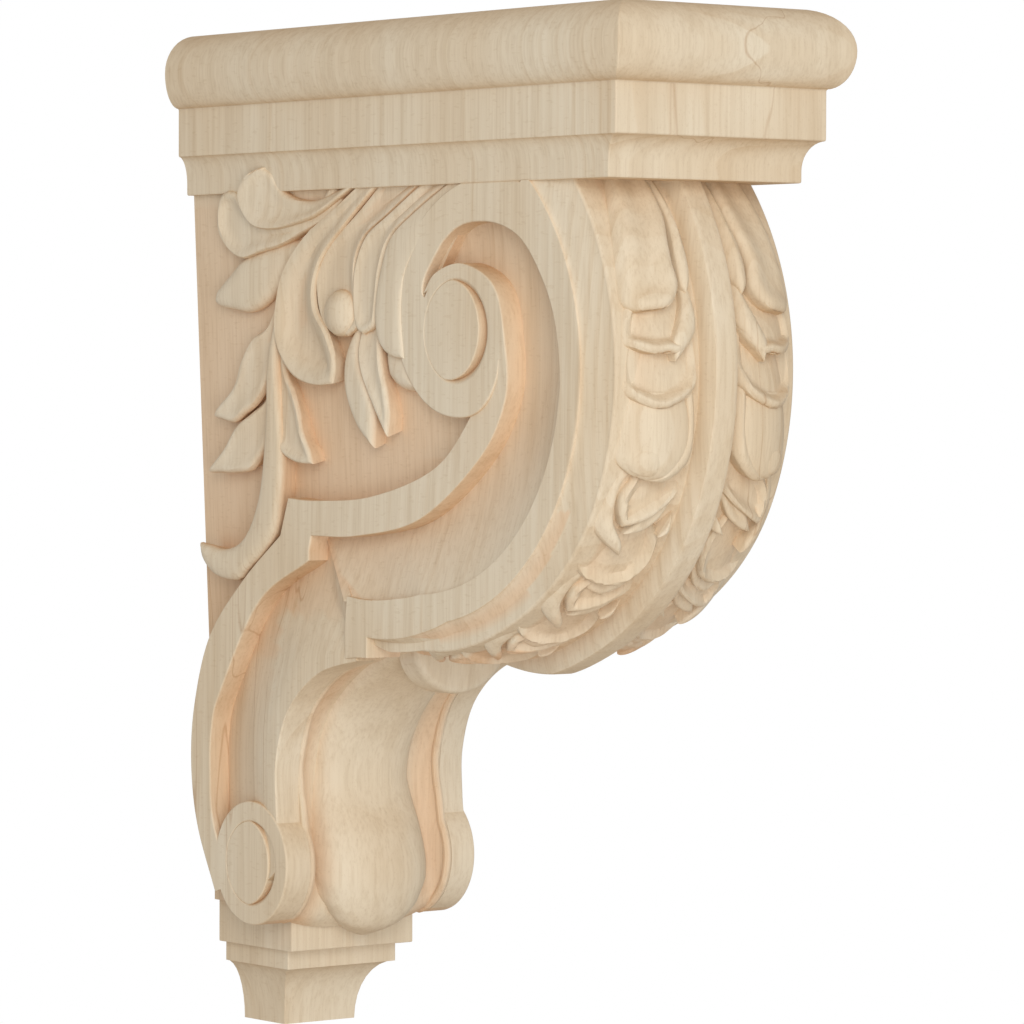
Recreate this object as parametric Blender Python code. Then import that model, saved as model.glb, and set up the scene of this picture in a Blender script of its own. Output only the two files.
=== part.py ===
"""Wooden corbel bracket with carved scrolls and acanthus leaves, one solid.

World frame: the wall is the plane y = 0, the front looks along -Y, +Z is up.
The origin is the middle of the wall face. Heights below are measured from the foot's underside.
Curves of the carving are given as (depth from the wall, height) in drawing millimetres.
"""

from math import cos, radians, sin

import bmesh
import bpy
import numpy as np

for old in list(bpy.data.objects):
    bpy.data.objects.remove(old, do_unlink=True)

MM = 0.001

# Body: half widths of the flat bands, the front rim, and how deep the channels go
CORBEL_HEIGHT = 355.6 * MM
BODY_REACH = 240.0 * MM
BAND_HALF_WIDTH = 41.8 * MM
RIM_INSET = 3.5 * MM
CHANNEL_DEPTH = 8.5 * MM
PANEL_TOP_INSET = 3.2 * MM
PANEL_FOOT_INSET = 10.3 * MM
LEG_RIM_WIDTH = 10.5 * MM

# Cap: lip, cove, fascia and bullnose, with its returns on the two sides
CAP_LIP_REACH = 240.0 * MM
LIP_HEIGHT = 4.0 * MM
COVE_HEIGHT = 9.8 * MM
COVE_OUT_SIDE = 3.7 * MM
COVE_OUT_FRONT = 8.1 * MM
FASCIA_HEIGHT = 17.1 * MM
NOSE_OUT_SIDE = 6.0 * MM
NOSE_OUT_FRONT = 8.6 * MM
NOSE_LOWER_HEIGHT = 12.6 * MM
NOSE_RADIUS = 13.8 * MM

# Foot: block, fillet and cove
BLOCK_HALF_WIDTH = 27.0 * MM
BLOCK_REACH = 45.0 * MM
BLOCK_STEP_SIDE = 3.0 * MM
BLOCK_STEP_FRONT = 6.4 * MM
FOOT_COVE_IN_SIDE = 8.3 * MM
FOOT_COVE_IN_FRONT = 13.7 * MM
FOOT_COVE_HEIGHT = 21.6 * MM
FOOT_FILLET_HEIGHT = 7.1 * MM

# Carved front: centre rib, leaf bed, leaves and tongue
RIB_HALF_WIDTH = 6.5 * MM
RIB_RISE = 10.0 * MM
RIB_FADE = 26.0
RIM_FILLET = 8.0 * MM
BED_RISE_OUT = 1.5 * MM
BED_RISE_IN = 5.0 * MM
LEAF_PAIRS = 11
LEAF_RISE = 8.5 * MM
TONGUE_HALF_WIDTH = 20.0 * MM
TONGUE_THICKNESS = 12.0 * MM
TONGUE_DROP = 17.0 * MM
TONGUE_ROUNDING = 2.8 * MM
BULB_HALF_WIDTH = 24.0 * MM

# Steps along curves, and how far a shell sinks into its neighbour
ARC_STEPS = 4
CURVE_STEPS = 3
ROLL_STEPS = 22
DISC_STEPS = 28
VOLUTE_STEPS = 34
LEG_STEPS = 16
CORE_STEPS = 14
CRESCENT_STEPS = 12
LOBE_STEP = 11.0
LOBE_ACROSS = 4
LOBE_ARCH = 5.0 * MM
OVERLAP = 4.0 * MM
PROUD = 0.3 * MM

# Worked-out sizes
CAP_HEIGHT = LIP_HEIGHT + COVE_HEIGHT + FASCIA_HEIGHT + NOSE_LOWER_HEIGHT + NOSE_RADIUS
CAP_UNDERSIDE = CORBEL_HEIGHT - CAP_HEIGHT
BLOCK_BOTTOM = FOOT_COVE_HEIGHT + FOOT_FILLET_HEIGHT
RIM_HALF_WIDTH = BAND_HALF_WIDTH - RIM_INSET
FLOOR_HALF_WIDTH = BAND_HALF_WIDTH - CHANNEL_DEPTH
CORE_HALF_WIDTH = FLOOR_HALF_WIDTH - OVERLAP
LEG_INNER = BAND_HALF_WIDTH - LEG_RIM_WIDTH
ORIGIN_HEIGHT = CORBEL_HEIGHT / 2
BED_START = RIM_HALF_WIDTH - RIM_FILLET

# The carving was drawn on a body of this reach, between these two heights
DRAWN_REACH = 240.0
DRAWN_TOP = 298.3
DRAWN_BOTTOM = 28.7

# The big roll is a round about this centre; the flat band runs inside its rim
ROLL_CENTRE = (140.0, 236.0)
RIM_RADIUS = 100.0
TAIL_EASING = 4.5
FILLET_WIDTH = 7.5
HOLLOW_WIDTH = 6.5
BAND_WIDTH = 10.0
ROLL_START = 42.0
ROLL_END = -106.0
BAND_END = -97.0
ROLL_LEAD = 8.0
TAIL_RADIUS = RIM_RADIUS - TAIL_EASING
BAND_OUTER_RADIUS = RIM_RADIUS - FILLET_WIDTH - HOLLOW_WIDTH
BAND_INNER_RADIUS = BAND_OUTER_RADIUS - BAND_WIDTH

# The volute winds in to its eye, and a small volute ends the leg
EYE_CENTRE = (159.5, 249.0)
EYE_RADIUS = 17.5
FOOT_EYE_CENTRE = (40.5, 61.0)
FOOT_EYE_RADIUS = 22.0
FOOT_EYE_MARK = 15.0
FOOT_BLOCK_TOP = FOOT_EYE_CENTRE[1] - FOOT_EYE_RADIUS / 2
CRESCENT_DEPTH = 4.0 * MM
CRESCENT_SHARE = 0.24
STRAP_DIP = 1.3 * MM
TONGUE_ROOT = (109.5, 140.0)


def place(points):
    """Drawing millimetres to metres on this body, as shares of its reach and height."""
    drawn = np.atleast_2d(np.array(points, dtype=float))
    depth = drawn[:, 0] / DRAWN_REACH * BODY_REACH
    share = (drawn[:, 1] - DRAWN_BOTTOM) / (DRAWN_TOP - DRAWN_BOTTOM)
    height = BLOCK_BOTTOM + share * (CAP_UNDERSIDE - BLOCK_BOTTOM)
    return np.stack([depth, height], axis=1)


def spline(points, steps=CURVE_STEPS):
    """Catmull-Rom curve through the points."""
    p = np.array(points, dtype=float)
    q = np.concatenate([[2 * p[0] - p[1]], p, [2 * p[-1] - p[-2]]])
    t = np.linspace(0, 1, steps, endpoint=False)[:, None]
    parts = []
    for a, b, c, d in zip(q, q[1:], q[2:], q[3:]):
        parts.append(0.5 * (2 * b + (c - a) * t + (2 * a - 5 * b + 4 * c - d) * t ** 2
                            + (3 * b - a - 3 * c + d) * t ** 3))
    return np.concatenate(parts + [p[-1:]])


def resample(curve, count):
    """The same curve with evenly spaced points."""
    curve = np.asarray(curve, dtype=float)
    run = np.concatenate([[0], np.cumsum(np.linalg.norm(np.diff(curve, axis=0), axis=1))])
    wanted = np.linspace(0, run[-1], count)
    return np.stack([np.interp(wanted, run, curve[:, k]) for k in range(curve.shape[1])], axis=1)


def polar(centre, turn, radius):
    """Points at angles in degrees and radii about a centre."""
    turn = np.radians(turn)
    return np.stack([centre[0] + radius * np.cos(turn), centre[1] + radius * np.sin(turn)], axis=1)


class Shells:
    """Gathers closed shells into one mesh."""

    def __init__(self):
        self.bm = bmesh.new()

    def loft(self, rings):
        """Skin rings of equal length one to the next and close both ends."""
        rows = [[self.bm.verts.new(p) for p in ring] for ring in np.asarray(rings, dtype=float)]
        faces = []
        for low, high in zip(rows, rows[1:]):
            for k, vert in enumerate(low):
                n = (k + 1) % len(low)
                faces.append(self.bm.faces.new((vert, low[n], high[n], high[k])))
        faces.append(self.bm.faces.new(rows[0]))
        faces.append(self.bm.faces.new(rows[-1]))
        bmesh.ops.recalc_face_normals(self.bm, faces=faces)

    def both_sides(self, rings):
        """A shell on the -X side and its mirror image on the +X side."""
        rings = np.asarray(rings, dtype=float)
        self.loft(rings)
        self.loft(rings * np.array([-1.0, 1.0, 1.0]))

    def to_object(self, name, material):
        mesh = bpy.data.meshes.new(name)
        bmesh.ops.triangulate(self.bm, faces=self.bm.faces)
        bmesh.ops.translate(self.bm, verts=self.bm.verts, vec=(0.0, 0.0, -ORIGIN_HEIGHT))
        self.bm.to_mesh(mesh)
        self.bm.free()
        mesh.materials.append(material)
        obj = bpy.data.objects.new(name, mesh)
        bpy.context.scene.collection.objects.link(obj)
        return obj


def on_side(curve, half_width):
    """(depth, height) points carried to the plane x = -half_width, which may vary along the curve."""
    curve = np.asarray(curve, dtype=float)
    return np.stack([-np.broadcast_to(half_width, len(curve)), -curve[:, 0], curve[:, 1]], axis=1)


def through_board(shells, outline, half_width):
    """A flat board cut to an outline, right through the corbel from side to side."""
    shells.loft([on_side(outline, half_width), on_side(outline, -half_width)])


def side_board(shells, outline, base, top):
    """A flat board cut to an outline, on each carved side, from a base level to a top level."""
    shells.both_sides([on_side(outline, base), on_side(outline, top)])


def ribbon(shells, first, second, first_top, second_top, base):
    """A strap between two curves of equal length, on each carved side, with its own level along each."""
    edges = [on_side(first, base), on_side(first, first_top), on_side(second, second_top), on_side(second, base)]
    shells.both_sides(np.stack(edges, axis=1))


def mitred_ring(half_width, reach, z):
    """One level of a moulding that returns along both sides to the wall."""
    return [(-half_width, 0.0, z), (-half_width, -reach, z), (half_width, -reach, z), (half_width, 0.0, z)]


def quarter_turn():
    """Sine and one minus cosine from 0 to 90 degrees, to run a round or a cove."""
    turn = np.radians(np.linspace(0, 90, ARC_STEPS + 1))
    return list(zip(np.sin(turn), 1 - np.cos(turn)))


def cap(shells):
    """Lip, cove, fascia and bullnose of the top."""
    width, reach, z = BAND_HALF_WIDTH - PROUD, CAP_LIP_REACH, CAP_UNDERSIDE
    rings = [mitred_ring(width, reach, z)]
    z += LIP_HEIGHT
    for up, out in quarter_turn():
        rings.append(mitred_ring(width + COVE_OUT_SIDE * out, reach + COVE_OUT_FRONT * out, z + COVE_HEIGHT * up))
    width, reach, z = width + COVE_OUT_SIDE, reach + COVE_OUT_FRONT, z + COVE_HEIGHT + FASCIA_HEIGHT
    for out, up in quarter_turn():
        rings.append(mitred_ring(width + NOSE_OUT_SIDE * out, reach + NOSE_OUT_FRONT * out,
                                 z + NOSE_LOWER_HEIGHT * up))
    width, reach, z = width + NOSE_OUT_SIDE, reach + NOSE_OUT_FRONT, z + NOSE_LOWER_HEIGHT
    for up, back in quarter_turn()[1:]:
        rings.append(mitred_ring(width - NOSE_RADIUS * back, reach - NOSE_RADIUS * back, z + NOSE_RADIUS * up))
    shells.loft(rings)


def foot(shells):
    """Drop moulding under the leg: cove, fillet and block."""
    width, reach = BLOCK_HALF_WIDTH - BLOCK_STEP_SIDE, BLOCK_REACH - BLOCK_STEP_FRONT
    rings = []
    for up, out in quarter_turn():
        rings.append(mitred_ring(width - FOOT_COVE_IN_SIDE * (1 - out), reach - FOOT_COVE_IN_FRONT * (1 - out),
                                 FOOT_COVE_HEIGHT * up))
    rings.append(mitred_ring(width, reach, BLOCK_BOTTOM))
    rings.append(mitred_ring(BLOCK_HALF_WIDTH, BLOCK_REACH, BLOCK_BOTTOM))
    rings.append(mitred_ring(BLOCK_HALF_WIDTH, BLOCK_REACH, place((0, FOOT_BLOCK_TOP))[0, 1]))
    shells.loft(rings)


def core(shells):
    """Plain wood inside the carving, flat against the wall."""
    roll = polar(ROLL_CENTRE, np.linspace(ROLL_START + ROLL_LEAD, BAND_END, CORE_STEPS), BAND_OUTER_RADIUS)
    top = DRAWN_TOP + OVERLAP / MM
    outline = np.concatenate([[(0, top), (roll[0, 0], top)], roll, LEG_CORE, [(0, LEG_CORE[-1][1])]])
    through_board(shells, place(outline), CORE_HALF_WIDTH)


def panel(shells):
    """Sunk ground of each side behind the scrolls, dished a little deeper towards the leg."""
    inner = np.array(PANEL_EDGE)
    wall = inner * (0, 1)
    share = (inner[0, 1] - inner[:, 1]) / (inner[0, 1] - inner[-1, 1])
    level = BAND_HALF_WIDTH - PANEL_TOP_INSET - share * (PANEL_FOOT_INSET - PANEL_TOP_INSET)
    ribbon(shells, place(wall), place(inner), level, level, CORE_HALF_WIDTH - OVERLAP)


def rim_radius(turn):
    """Radius of the front rim in drawing millimetres, a little tighter towards the tail."""
    ease = np.clip((-25.0 - turn) / 45.0, 0, 1)
    return RIM_RADIUS + (TAIL_RADIUS - RIM_RADIUS) * ease * ease * (3 - 2 * ease)


def roll_point(turn, x, rise):
    """Point on the big roll's front: angle in degrees, place across, and rise over the rim."""
    radius = rim_radius(turn) + rise / MM
    depth, height = place((ROLL_CENTRE[0] + radius * cos(radians(turn)),
                           ROLL_CENTRE[1] + radius * sin(radians(turn))))[0]
    return x, -depth, height


def bed_rise(x):
    """Rise of the leaf bed over the rim, from the rim's fillet up to the rib."""
    side = abs(x)
    if side >= BED_START:
        return BED_RISE_OUT * (RIM_HALF_WIDTH - side) / RIM_FILLET
    share = (BED_START - side) / (BED_START - RIB_HALF_WIDTH)
    return BED_RISE_OUT + (BED_RISE_IN - BED_RISE_OUT) * share


def big_roll(shells):
    """Round front under the cap, with its rims and the leaf bed, swept about the roll's centre."""
    across = [-RIM_HALF_WIDTH, -BED_START, -RIB_HALF_WIDTH, RIB_HALF_WIDTH, BED_START, RIM_HALF_WIDTH]
    rings = []
    for turn in np.linspace(ROLL_START, ROLL_END, ROLL_STEPS + 1):
        ring = [roll_point(turn, x, bed_rise(x)) for x in across]
        inward = -(RIM_RADIUS - BAND_INNER_RADIUS) * MM / 2
        ring += [roll_point(turn, RIM_HALF_WIDTH, inward), roll_point(turn, -RIM_HALF_WIDTH, inward)]
        rings.append(ring)
    shells.loft(rings)


def centre_rib(shells):
    """Rounded rib down the middle of the front, fading out at the tail."""
    rings = []
    for turn in np.linspace(ROLL_START, ROLL_END + RIB_FADE / 2, ROLL_STEPS + 1):
        fade = min(1.0, (turn - ROLL_END) / RIB_FADE)
        half = RIB_HALF_WIDTH * (1 + fade) / 2
        ring = []
        for side, share in ((-1, 0.0), (-1, 0.75), (-0.5, 0.97), (0.5, 0.97), (1, 0.75), (1, 0.0)):
            ring.append(roll_point(turn, side * half, (RIB_RISE * share) * fade - OVERLAP * (share == 0)))
        rings.append(ring)
    shells.loft(rings)


def side_chart(u, v, level):
    """Drawing millimetres and a half width, on the -X side."""
    depth, height = place((u, v))[0]
    return -level, -depth, height


def front_chart(u, v, rise):
    """Drawing millimetres down the roll and out from the centre line, on the -X half of the front."""
    turn = ROLL_START - np.degrees(u / (RIM_RADIUS + RIB_RISE / MM / 2))
    return roll_point(turn, -v * MM, rise)


def lobe(shells, chart, spine, widths, crest, base):
    """One leaf lobe: an arched body on a straight skirt, along a spine, with half widths given along it."""
    curve = spline(spine, 6)
    stations = max(5, round(np.linalg.norm(np.diff(curve, axis=0), axis=1).sum() / LOBE_STEP) + 1)
    line = resample(curve, stations)
    along = np.gradient(line, axis=0)
    along /= np.linalg.norm(along, axis=1)[:, None]
    normal = np.stack([-along[:, 1], along[:, 0]], axis=1)
    half = np.interp(np.linspace(0, 1, stations), np.linspace(0, 1, len(widths)), widths)
    full = max(widths)
    rings = []
    for point, across, w in zip(line, normal, half):
        arch = LOBE_ARCH * (0.45 + 0.55 * min(1.0, w / (0.7 * full)))
        ring = [chart(*(point - across * w), base)]
        for turn in np.linspace(0, np.pi, LOBE_ACROSS + 1):
            u, v = point - across * w * np.cos(turn)
            ring.append(chart(u, v, crest - LOBE_ARCH + arch * np.sin(turn)))
        ring.append(chart(*(point + across * w), base))
        rings.append(ring)
    shells.both_sides(rings)


def front_leaves(shells):
    """Overlapping acanthus lobes on both halves of the front, smaller towards the tail."""
    length = (RIM_RADIUS + RIB_RISE / MM / 2) * radians(ROLL_START - ROLL_END)
    inner, outer = RIB_HALF_WIDTH / MM + 1.5, BED_START / MM
    starts = length * (np.linspace(0.0, 1.0, LEAF_PAIRS + 1)[:-1] ** 0.9)
    for k, start in enumerate(starts):
        scale = 1.0 - 0.45 * k / LEAF_PAIRS
        reach, run = (outer - inner), 30 * scale
        spine = [(start, inner + 2), (start + 0.35 * run, inner + 0.25 * reach),
                 (start + 0.75 * run, inner + 0.6 * reach), (start + run, outer - 3)]
        lobe(shells, front_chart, spine, [3, 9.5 * scale, 9.5 * scale, 2], LEAF_RISE * (0.6 + 0.4 * scale), -OVERLAP)


def tongue(shells):
    """Rounded apron that the leaves end in, hanging over the hollow of the leg."""
    front, root = place(TONGUE_ROOT)[0]
    turn = np.radians(np.linspace(180, 360, 9))
    rings = []
    for back, inset in ((0, 0), (TONGUE_ROUNDING, 1), (TONGUE_THICKNESS, 1), (TONGUE_THICKNESS, 0)):
        half = TONGUE_HALF_WIDTH - TONGUE_ROUNDING * (1 - inset)
        drop = TONGUE_DROP - TONGUE_ROUNDING * (1 - inset)
        y = -front + back
        ring = [(half * cos(t), y, root + drop * sin(t)) for t in turn]
        rings.append(ring + [(half, y, root + TONGUE_DROP / 2), (-half, y, root + TONGUE_DROP / 2)])
    shells.loft(rings)


# Curves of one carved side, in drawing millimetres
STRAP_UPPER = [(62.7, 191), (80, 190.5), (112, 192.7), (146, 202.6), (166, 220.3), (172, 232)]
STRAP_LOWER = [(75.3, 178), (104, 178.8), (139.6, 185.6), (171.6, 206.7), (186.2, 226.1), (185.2, 242)]
LEG_BACK = [(62.7, 191), (57.9, 177.8), (34.7, 160.9), (14.8, 141), (5.1, 116.6), (2.8, 94.5), (6.7, 72.4),
            (18, 49)]
LEG_WALL = [(75.3, 178), (75.3, 169.4), (45.1, 153.8), (21.4, 121.1), (15.9, 107.5), (15.1, 91.3),
            (17, 74), (28, 52)]
LEG_FRONT = [(110, 148), (103, 136), (80.2, 130.1), (62.9, 116.9), (55.4, 99.2), (55.4, 81.3), (57, 62),
             (44, 52)]
CHANNEL_WALL = [(75.3, 173.5), (104, 178.8), (139.6, 185.6), (171.6, 206.7), (185.6, 228), (185.4, 249),
                (179.5, 264.5), (163, 271.7), (148, 268.7), (141, 261.5)]
CHANNEL_EDGE = [(98, 157.6), (125, 158.3), (164.6, 164.5), (203, 194), (216, 236), (212, 255),
                (196, 278.5), (171, 285.7), (151, 278.6), (140.5, 264)]


TERMINAL = [(136, 148.5), (136, 160.4), (98, 157.8), (97, 148), (97, 136.2), (109.5, 137), (109.5, 144), (124, 144.3)]
LEG_CORE = [(92, 150), (66, 128), (50, 110), (42, 90), (40, 66), (36, 44)]
LEG_MIDDLE = [(52, 33.7), (62, 39), (67.5, 54), (65, 69), (58.5, 82), (57, 93), (61, 106), (72, 120), (92, 132),
              (120, 141)]
LEG_HOLLOW = [(47, 37), (52, 43), (53, 56), (52, 70), (50, 84), (50, 95), (55, 108), (66, 121), (87, 134), (118, 142)]
PANEL_EDGE = [(170, 298.3), (144, 270), (136, 250), (140, 232), (164, 222), (152, 208), (120, 196), (72, 184),
              (59, 172), (41, 158), (27, 146), (19, 134)]


def volute_edge(turn):
    """Outer radius of the volute about its eye, by angle in degrees from the front."""
    angles = [0, 20, 45, 77, 110, 152, 180, 215, 260, 297, 335, 360, 398, 442]
    radii = [63, 66, 60, 51, 44, 37, 33.7, 30.6, 29, 29.4, 26.4, 25.5, 25.3, 22.6]
    return np.interp(turn, angles, radii)


def channel_edge(turn):
    """Radius about the eye where the volute's channel meets the outer turn."""
    angles = [0, 7, 22, 39, 47, 70, 88, 102, 118, 141, 152]
    radii = [54, 52.3, 48.9, 46.7, 44.7, 38.7, 34.9, 31.3, 27.3, 24, 19]
    return np.interp(turn, angles, radii)


def scrolls(shells):
    """Straps, volutes and dished channels of the two carved sides."""
    base = CORE_HALF_WIDTH - OVERLAP / 2
    turns = np.linspace(ROLL_START + ROLL_LEAD, BAND_END, ROLL_STEPS)
    inner = place(polar(ROLL_CENTRE, turns, BAND_INNER_RADIUS))
    outer = place(polar(ROLL_CENTRE, turns, BAND_OUTER_RADIUS))
    hollow = place(polar(ROLL_CENTRE, turns, BAND_OUTER_RADIUS + HOLLOW_WIDTH))
    edges = [on_side(inner, base), on_side(inner, BAND_HALF_WIDTH), on_side(outer, BAND_HALF_WIDTH),
             on_side(hollow, RIM_HALF_WIDTH - PROUD), on_side(hollow, base)]
    shells.both_sides(np.stack(edges, axis=1))
    side_board(shells, place(TERMINAL), base, BAND_HALF_WIDTH)
    wall, edge = spline(CHANNEL_WALL), spline(CHANNEL_EDGE)
    lift = np.interp(np.linspace(0, 1, len(wall)), [0, 0.5, 0.75, 1], [1, 1, 0.25, 0.05])
    ribbon(shells, place(wall), place(edge), FLOOR_HALF_WIDTH, FLOOR_HALF_WIDTH + lift * CHANNEL_DEPTH - PROUD,
           base - OVERLAP / 2)
    turns = np.linspace(0, 152, VOLUTE_STEPS // 2)
    outside = polar(EYE_CENTRE, turns, volute_edge(turns))
    outside[:, 1] = np.minimum(outside[:, 1], DRAWN_TOP)
    inside = polar(EYE_CENTRE, turns, channel_edge(turns))
    ribbon(shells, place(outside), place(inside), BAND_HALF_WIDTH, BAND_HALF_WIDTH, base - PROUD)
    turns = np.linspace(147, 442, VOLUTE_STEPS)
    face = np.concatenate([polar(EYE_CENTRE, turns, volute_edge(turns)), [(153.7, 271.4), (147.5, 268.6), (141, 261)]])
    side_board(shells, place(face), base + PROUD, BAND_HALF_WIDTH)
    upper, lower = place(spline(STRAP_UPPER)), place(spline(STRAP_LOWER))
    level = BAND_HALF_WIDTH - np.linspace(0, STRAP_DIP, len(upper))
    ribbon(shells, upper, lower, level, level, base + 2 * PROUD)
    back, wall, front = (place(spline(curve)) for curve in (LEG_BACK, LEG_WALL, LEG_FRONT))
    ribbon(shells, back, wall, BAND_HALF_WIDTH, BAND_HALF_WIDTH, base + 3 * PROUD)
    ribbon(shells, wall, front, FLOOR_HALF_WIDTH + PROUD, BAND_HALF_WIDTH - PROUD, LEG_INNER)
    turns = np.linspace(0, 360, DISC_STEPS + 1)[:-1]
    disc = place(polar(FOOT_EYE_CENTRE, turns, np.full(DISC_STEPS, FOOT_EYE_RADIUS)))
    side_board(shells, disc, LEG_INNER - PROUD, BAND_HALF_WIDTH)


def leg_front(shells):
    """Hollow of the leg between its two rims, swelling into a rounded cushion above the foot."""
    middle, edge = (resample(spline(curve), LEG_STEPS) for curve in (LEG_MIDDLE, LEG_HOLLOW))
    swell = np.interp(middle[:, 1], [33, 60, 85, 142], [1.0, 1.0, 0.8, 0.9])
    rings = []
    for mid, side, share in zip(middle, edge, swell):
        half = BULB_HALF_WIDTH * share
        ring = []
        for turn in np.linspace(0, np.pi, 2 * LOBE_ACROSS - 1):
            depth, height = place(side + (mid - side) * np.sin(turn))[0]
            ring.append((-half * np.cos(turn), -depth, height))
        front, back = place([side, side * (0.75, 1) + (-5, 6)])
        under = LEG_INNER + OVERLAP / 2
        for x, (depth, height) in ((under, front), (under, back), (-under, back), (-under, front)):
            ring.append((x, -depth, height))
        rings.append(ring)
    shells.loft(rings)


# Leaf spray of one side: spine (depth, height), half widths along it, and crest over the band level
SPRAY = [
    ([(97, 296), (78, 291), (60, 289.5), (46, 292), (39, 302)], [1.5, 3, 5, 7.5, 4], 2.5),
    ([(84, 287), (58, 281), (40, 281), (26, 284), (15, 290)], [1.5, 4, 7, 9, 4], 1.0),
    ([(54, 284), (42, 273), (28, 266), (12, 262)], [4, 8, 8, 2.5], -0.5),
    ([(44, 262), (37, 242), (26, 228), (11, 222)], [3, 6, 7, 2], -1.0),
    ([(43, 240), (37, 220), (24, 207), (8, 202)], [3, 6, 7.5, 2], -1.0),
    ([(94, 296), (66, 277), (50, 256), (45, 232), (45, 206), (39, 184), (24, 170), (5, 171)],
     [1.5, 3, 4.5, 5, 5, 5.5, 7, 3], 0.0),
    ([(50, 262), (49, 240), (53, 222), (62, 208)], [2.5, 5, 7, 3], -1.5),
    ([(98, 296), (80, 284), (65, 266), (60, 250), (64, 238), (72, 233)], [1.5, 5, 8, 10, 9, 4], 0.0),
    ([(118, 297), (98, 284), (84, 270), (80, 258)], [1.5, 4, 5, 4], -0.5),
    ([(80, 262), (86, 262), (90, 256), (88, 249)], [4, 7, 8, 4], 1.0),
    ([(146, 297), (121, 287), (108, 270), (106, 248)], [1.5, 5, 7, 4], -1.0),
    ([(91, 250), (93, 238), (101, 226), (111, 215)], [2.5, 6, 8, 2], 0.5),
    ([(106, 241), (117, 235), (130, 231)], [3, 6.5, 4], -0.5),
]


def leaf_spray(shells):
    """Acanthus spray that grows down from the cap over the sunk panel of each side."""
    for spine, widths, proud in SPRAY:
        crest = BAND_HALF_WIDTH + proud * MM
        lobe(shells, side_chart, spine, widths, crest, FLOOR_HALF_WIDTH - OVERLAP)


def crescent(shells, centre, radius, start, end):
    """Cutter for the crescent that marks an eye: deep against the disc, running out to nothing."""
    turns = np.linspace(start, end, CRESCENT_STEPS)
    swell = np.sin(np.linspace(0, np.pi, CRESCENT_STEPS))
    inside = place(polar(centre, turns, radius * (1 - CRESCENT_SHARE * swell)))
    outside = place(polar(centre, turns, np.full(CRESCENT_STEPS, radius)))
    ribbon(shells, inside, outside, BAND_HALF_WIDTH + OVERLAP, BAND_HALF_WIDTH + OVERLAP,
           BAND_HALF_WIDTH - CRESCENT_DEPTH)


def maple():
    wood = bpy.data.materials.new("maple")
    wood.use_nodes = True
    shader = wood.node_tree.nodes["Principled BSDF"]
    shader.inputs["Base Color"].default_value = (0.70, 0.56, 0.42, 1.0)
    shader.inputs["Roughness"].default_value = 0.55
    shader.inputs["Metallic"].default_value = 0.0
    return wood


def boolean(target, other, operation, inside=False):
    """Join or cut with an object that is then hidden."""
    other.hide_render = True
    other.display_type = "WIRE"
    change = target.modifiers.new(other.name, "BOOLEAN")
    change.operation = operation
    change.solver = "EXACT"
    change.use_self = inside
    change.object = other


def build():
    wood = maple()
    carving = Shells()
    for part in (foot, big_roll, centre_rib, core, panel, scrolls, leg_front, tongue, leaf_spray, front_leaves):
        part(carving)
    corbel = carving.to_object("corbel", wood)
    top = Shells()
    cap(top)
    boolean(corbel, top.to_object("cap_shape", wood), "UNION", inside=True)
    marks = Shells()
    crescent(marks, EYE_CENTRE, EYE_RADIUS, 98, -112)
    crescent(marks, FOOT_EYE_CENTRE, FOOT_EYE_MARK, 92, -95)
    boolean(corbel, marks.to_object("crescent_cutter", wood), "DIFFERENCE")
    return corbel


corbel = build()
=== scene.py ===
import bpy
import numpy as np
from mathutils import Matrix


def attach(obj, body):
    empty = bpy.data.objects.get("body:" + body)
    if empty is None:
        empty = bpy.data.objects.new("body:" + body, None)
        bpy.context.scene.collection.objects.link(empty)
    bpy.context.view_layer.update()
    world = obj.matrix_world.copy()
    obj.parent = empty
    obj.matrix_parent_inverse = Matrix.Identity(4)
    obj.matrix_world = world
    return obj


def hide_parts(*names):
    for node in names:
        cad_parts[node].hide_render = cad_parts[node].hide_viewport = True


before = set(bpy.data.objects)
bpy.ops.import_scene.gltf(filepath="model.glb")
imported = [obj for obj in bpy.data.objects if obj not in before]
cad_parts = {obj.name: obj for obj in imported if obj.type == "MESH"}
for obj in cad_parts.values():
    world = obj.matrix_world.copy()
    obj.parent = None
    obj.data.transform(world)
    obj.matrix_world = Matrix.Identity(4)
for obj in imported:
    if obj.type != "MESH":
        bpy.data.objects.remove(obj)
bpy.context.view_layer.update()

# %% [markdown]
# The camera stands about 1.85 m away, to the front left and just above the middle of the piece, with a
# long lens. Its turn, tilt and place were solved from the mitred corners of the cap and foot, so it is
# given here as three angles, a position and a lens.
# %% Camera
YAW, TILT, ROLL = -0.663641, -0.028693, 0.002937
CAMERA_PLACE = (-1.067890, -1.502687, 0.059177)
SENSOR = 36.0
FOCAL_PIXELS, PICTURE_PIXELS = 5044.400827, 1024


def axes_from_angles(yaw, tilt, roll):
    """Right, up and back axes of a camera: looks level along +Y, turned by yaw, tilted up, then rolled."""
    forward = np.array([-np.sin(yaw) * np.cos(tilt), np.cos(yaw) * np.cos(tilt), np.sin(tilt)])
    right = np.array([np.cos(yaw), np.sin(yaw), 0.0])
    up = np.cross(right, forward)
    return np.cos(roll) * right + np.sin(roll) * up, np.cos(roll) * up - np.sin(roll) * right, -forward


camera = bpy.data.objects.new("camera", bpy.data.cameras.new("camera"))
camera.data.sensor_width = SENSOR
camera.data.lens = SENSOR * FOCAL_PIXELS / PICTURE_PIXELS
camera.data.clip_end = 200.0
turned = np.eye(4)
turned[:3, :3] = np.stack(axes_from_angles(YAW, TILT, ROLL), axis=1)
turned[:3, 3] = CAMERA_PLACE
camera.matrix_world = Matrix(turned.tolist())
bpy.context.scene.collection.objects.link(camera)
bpy.context.scene.camera = camera
print("lens", round(camera.data.lens, 2), "mm")

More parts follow.
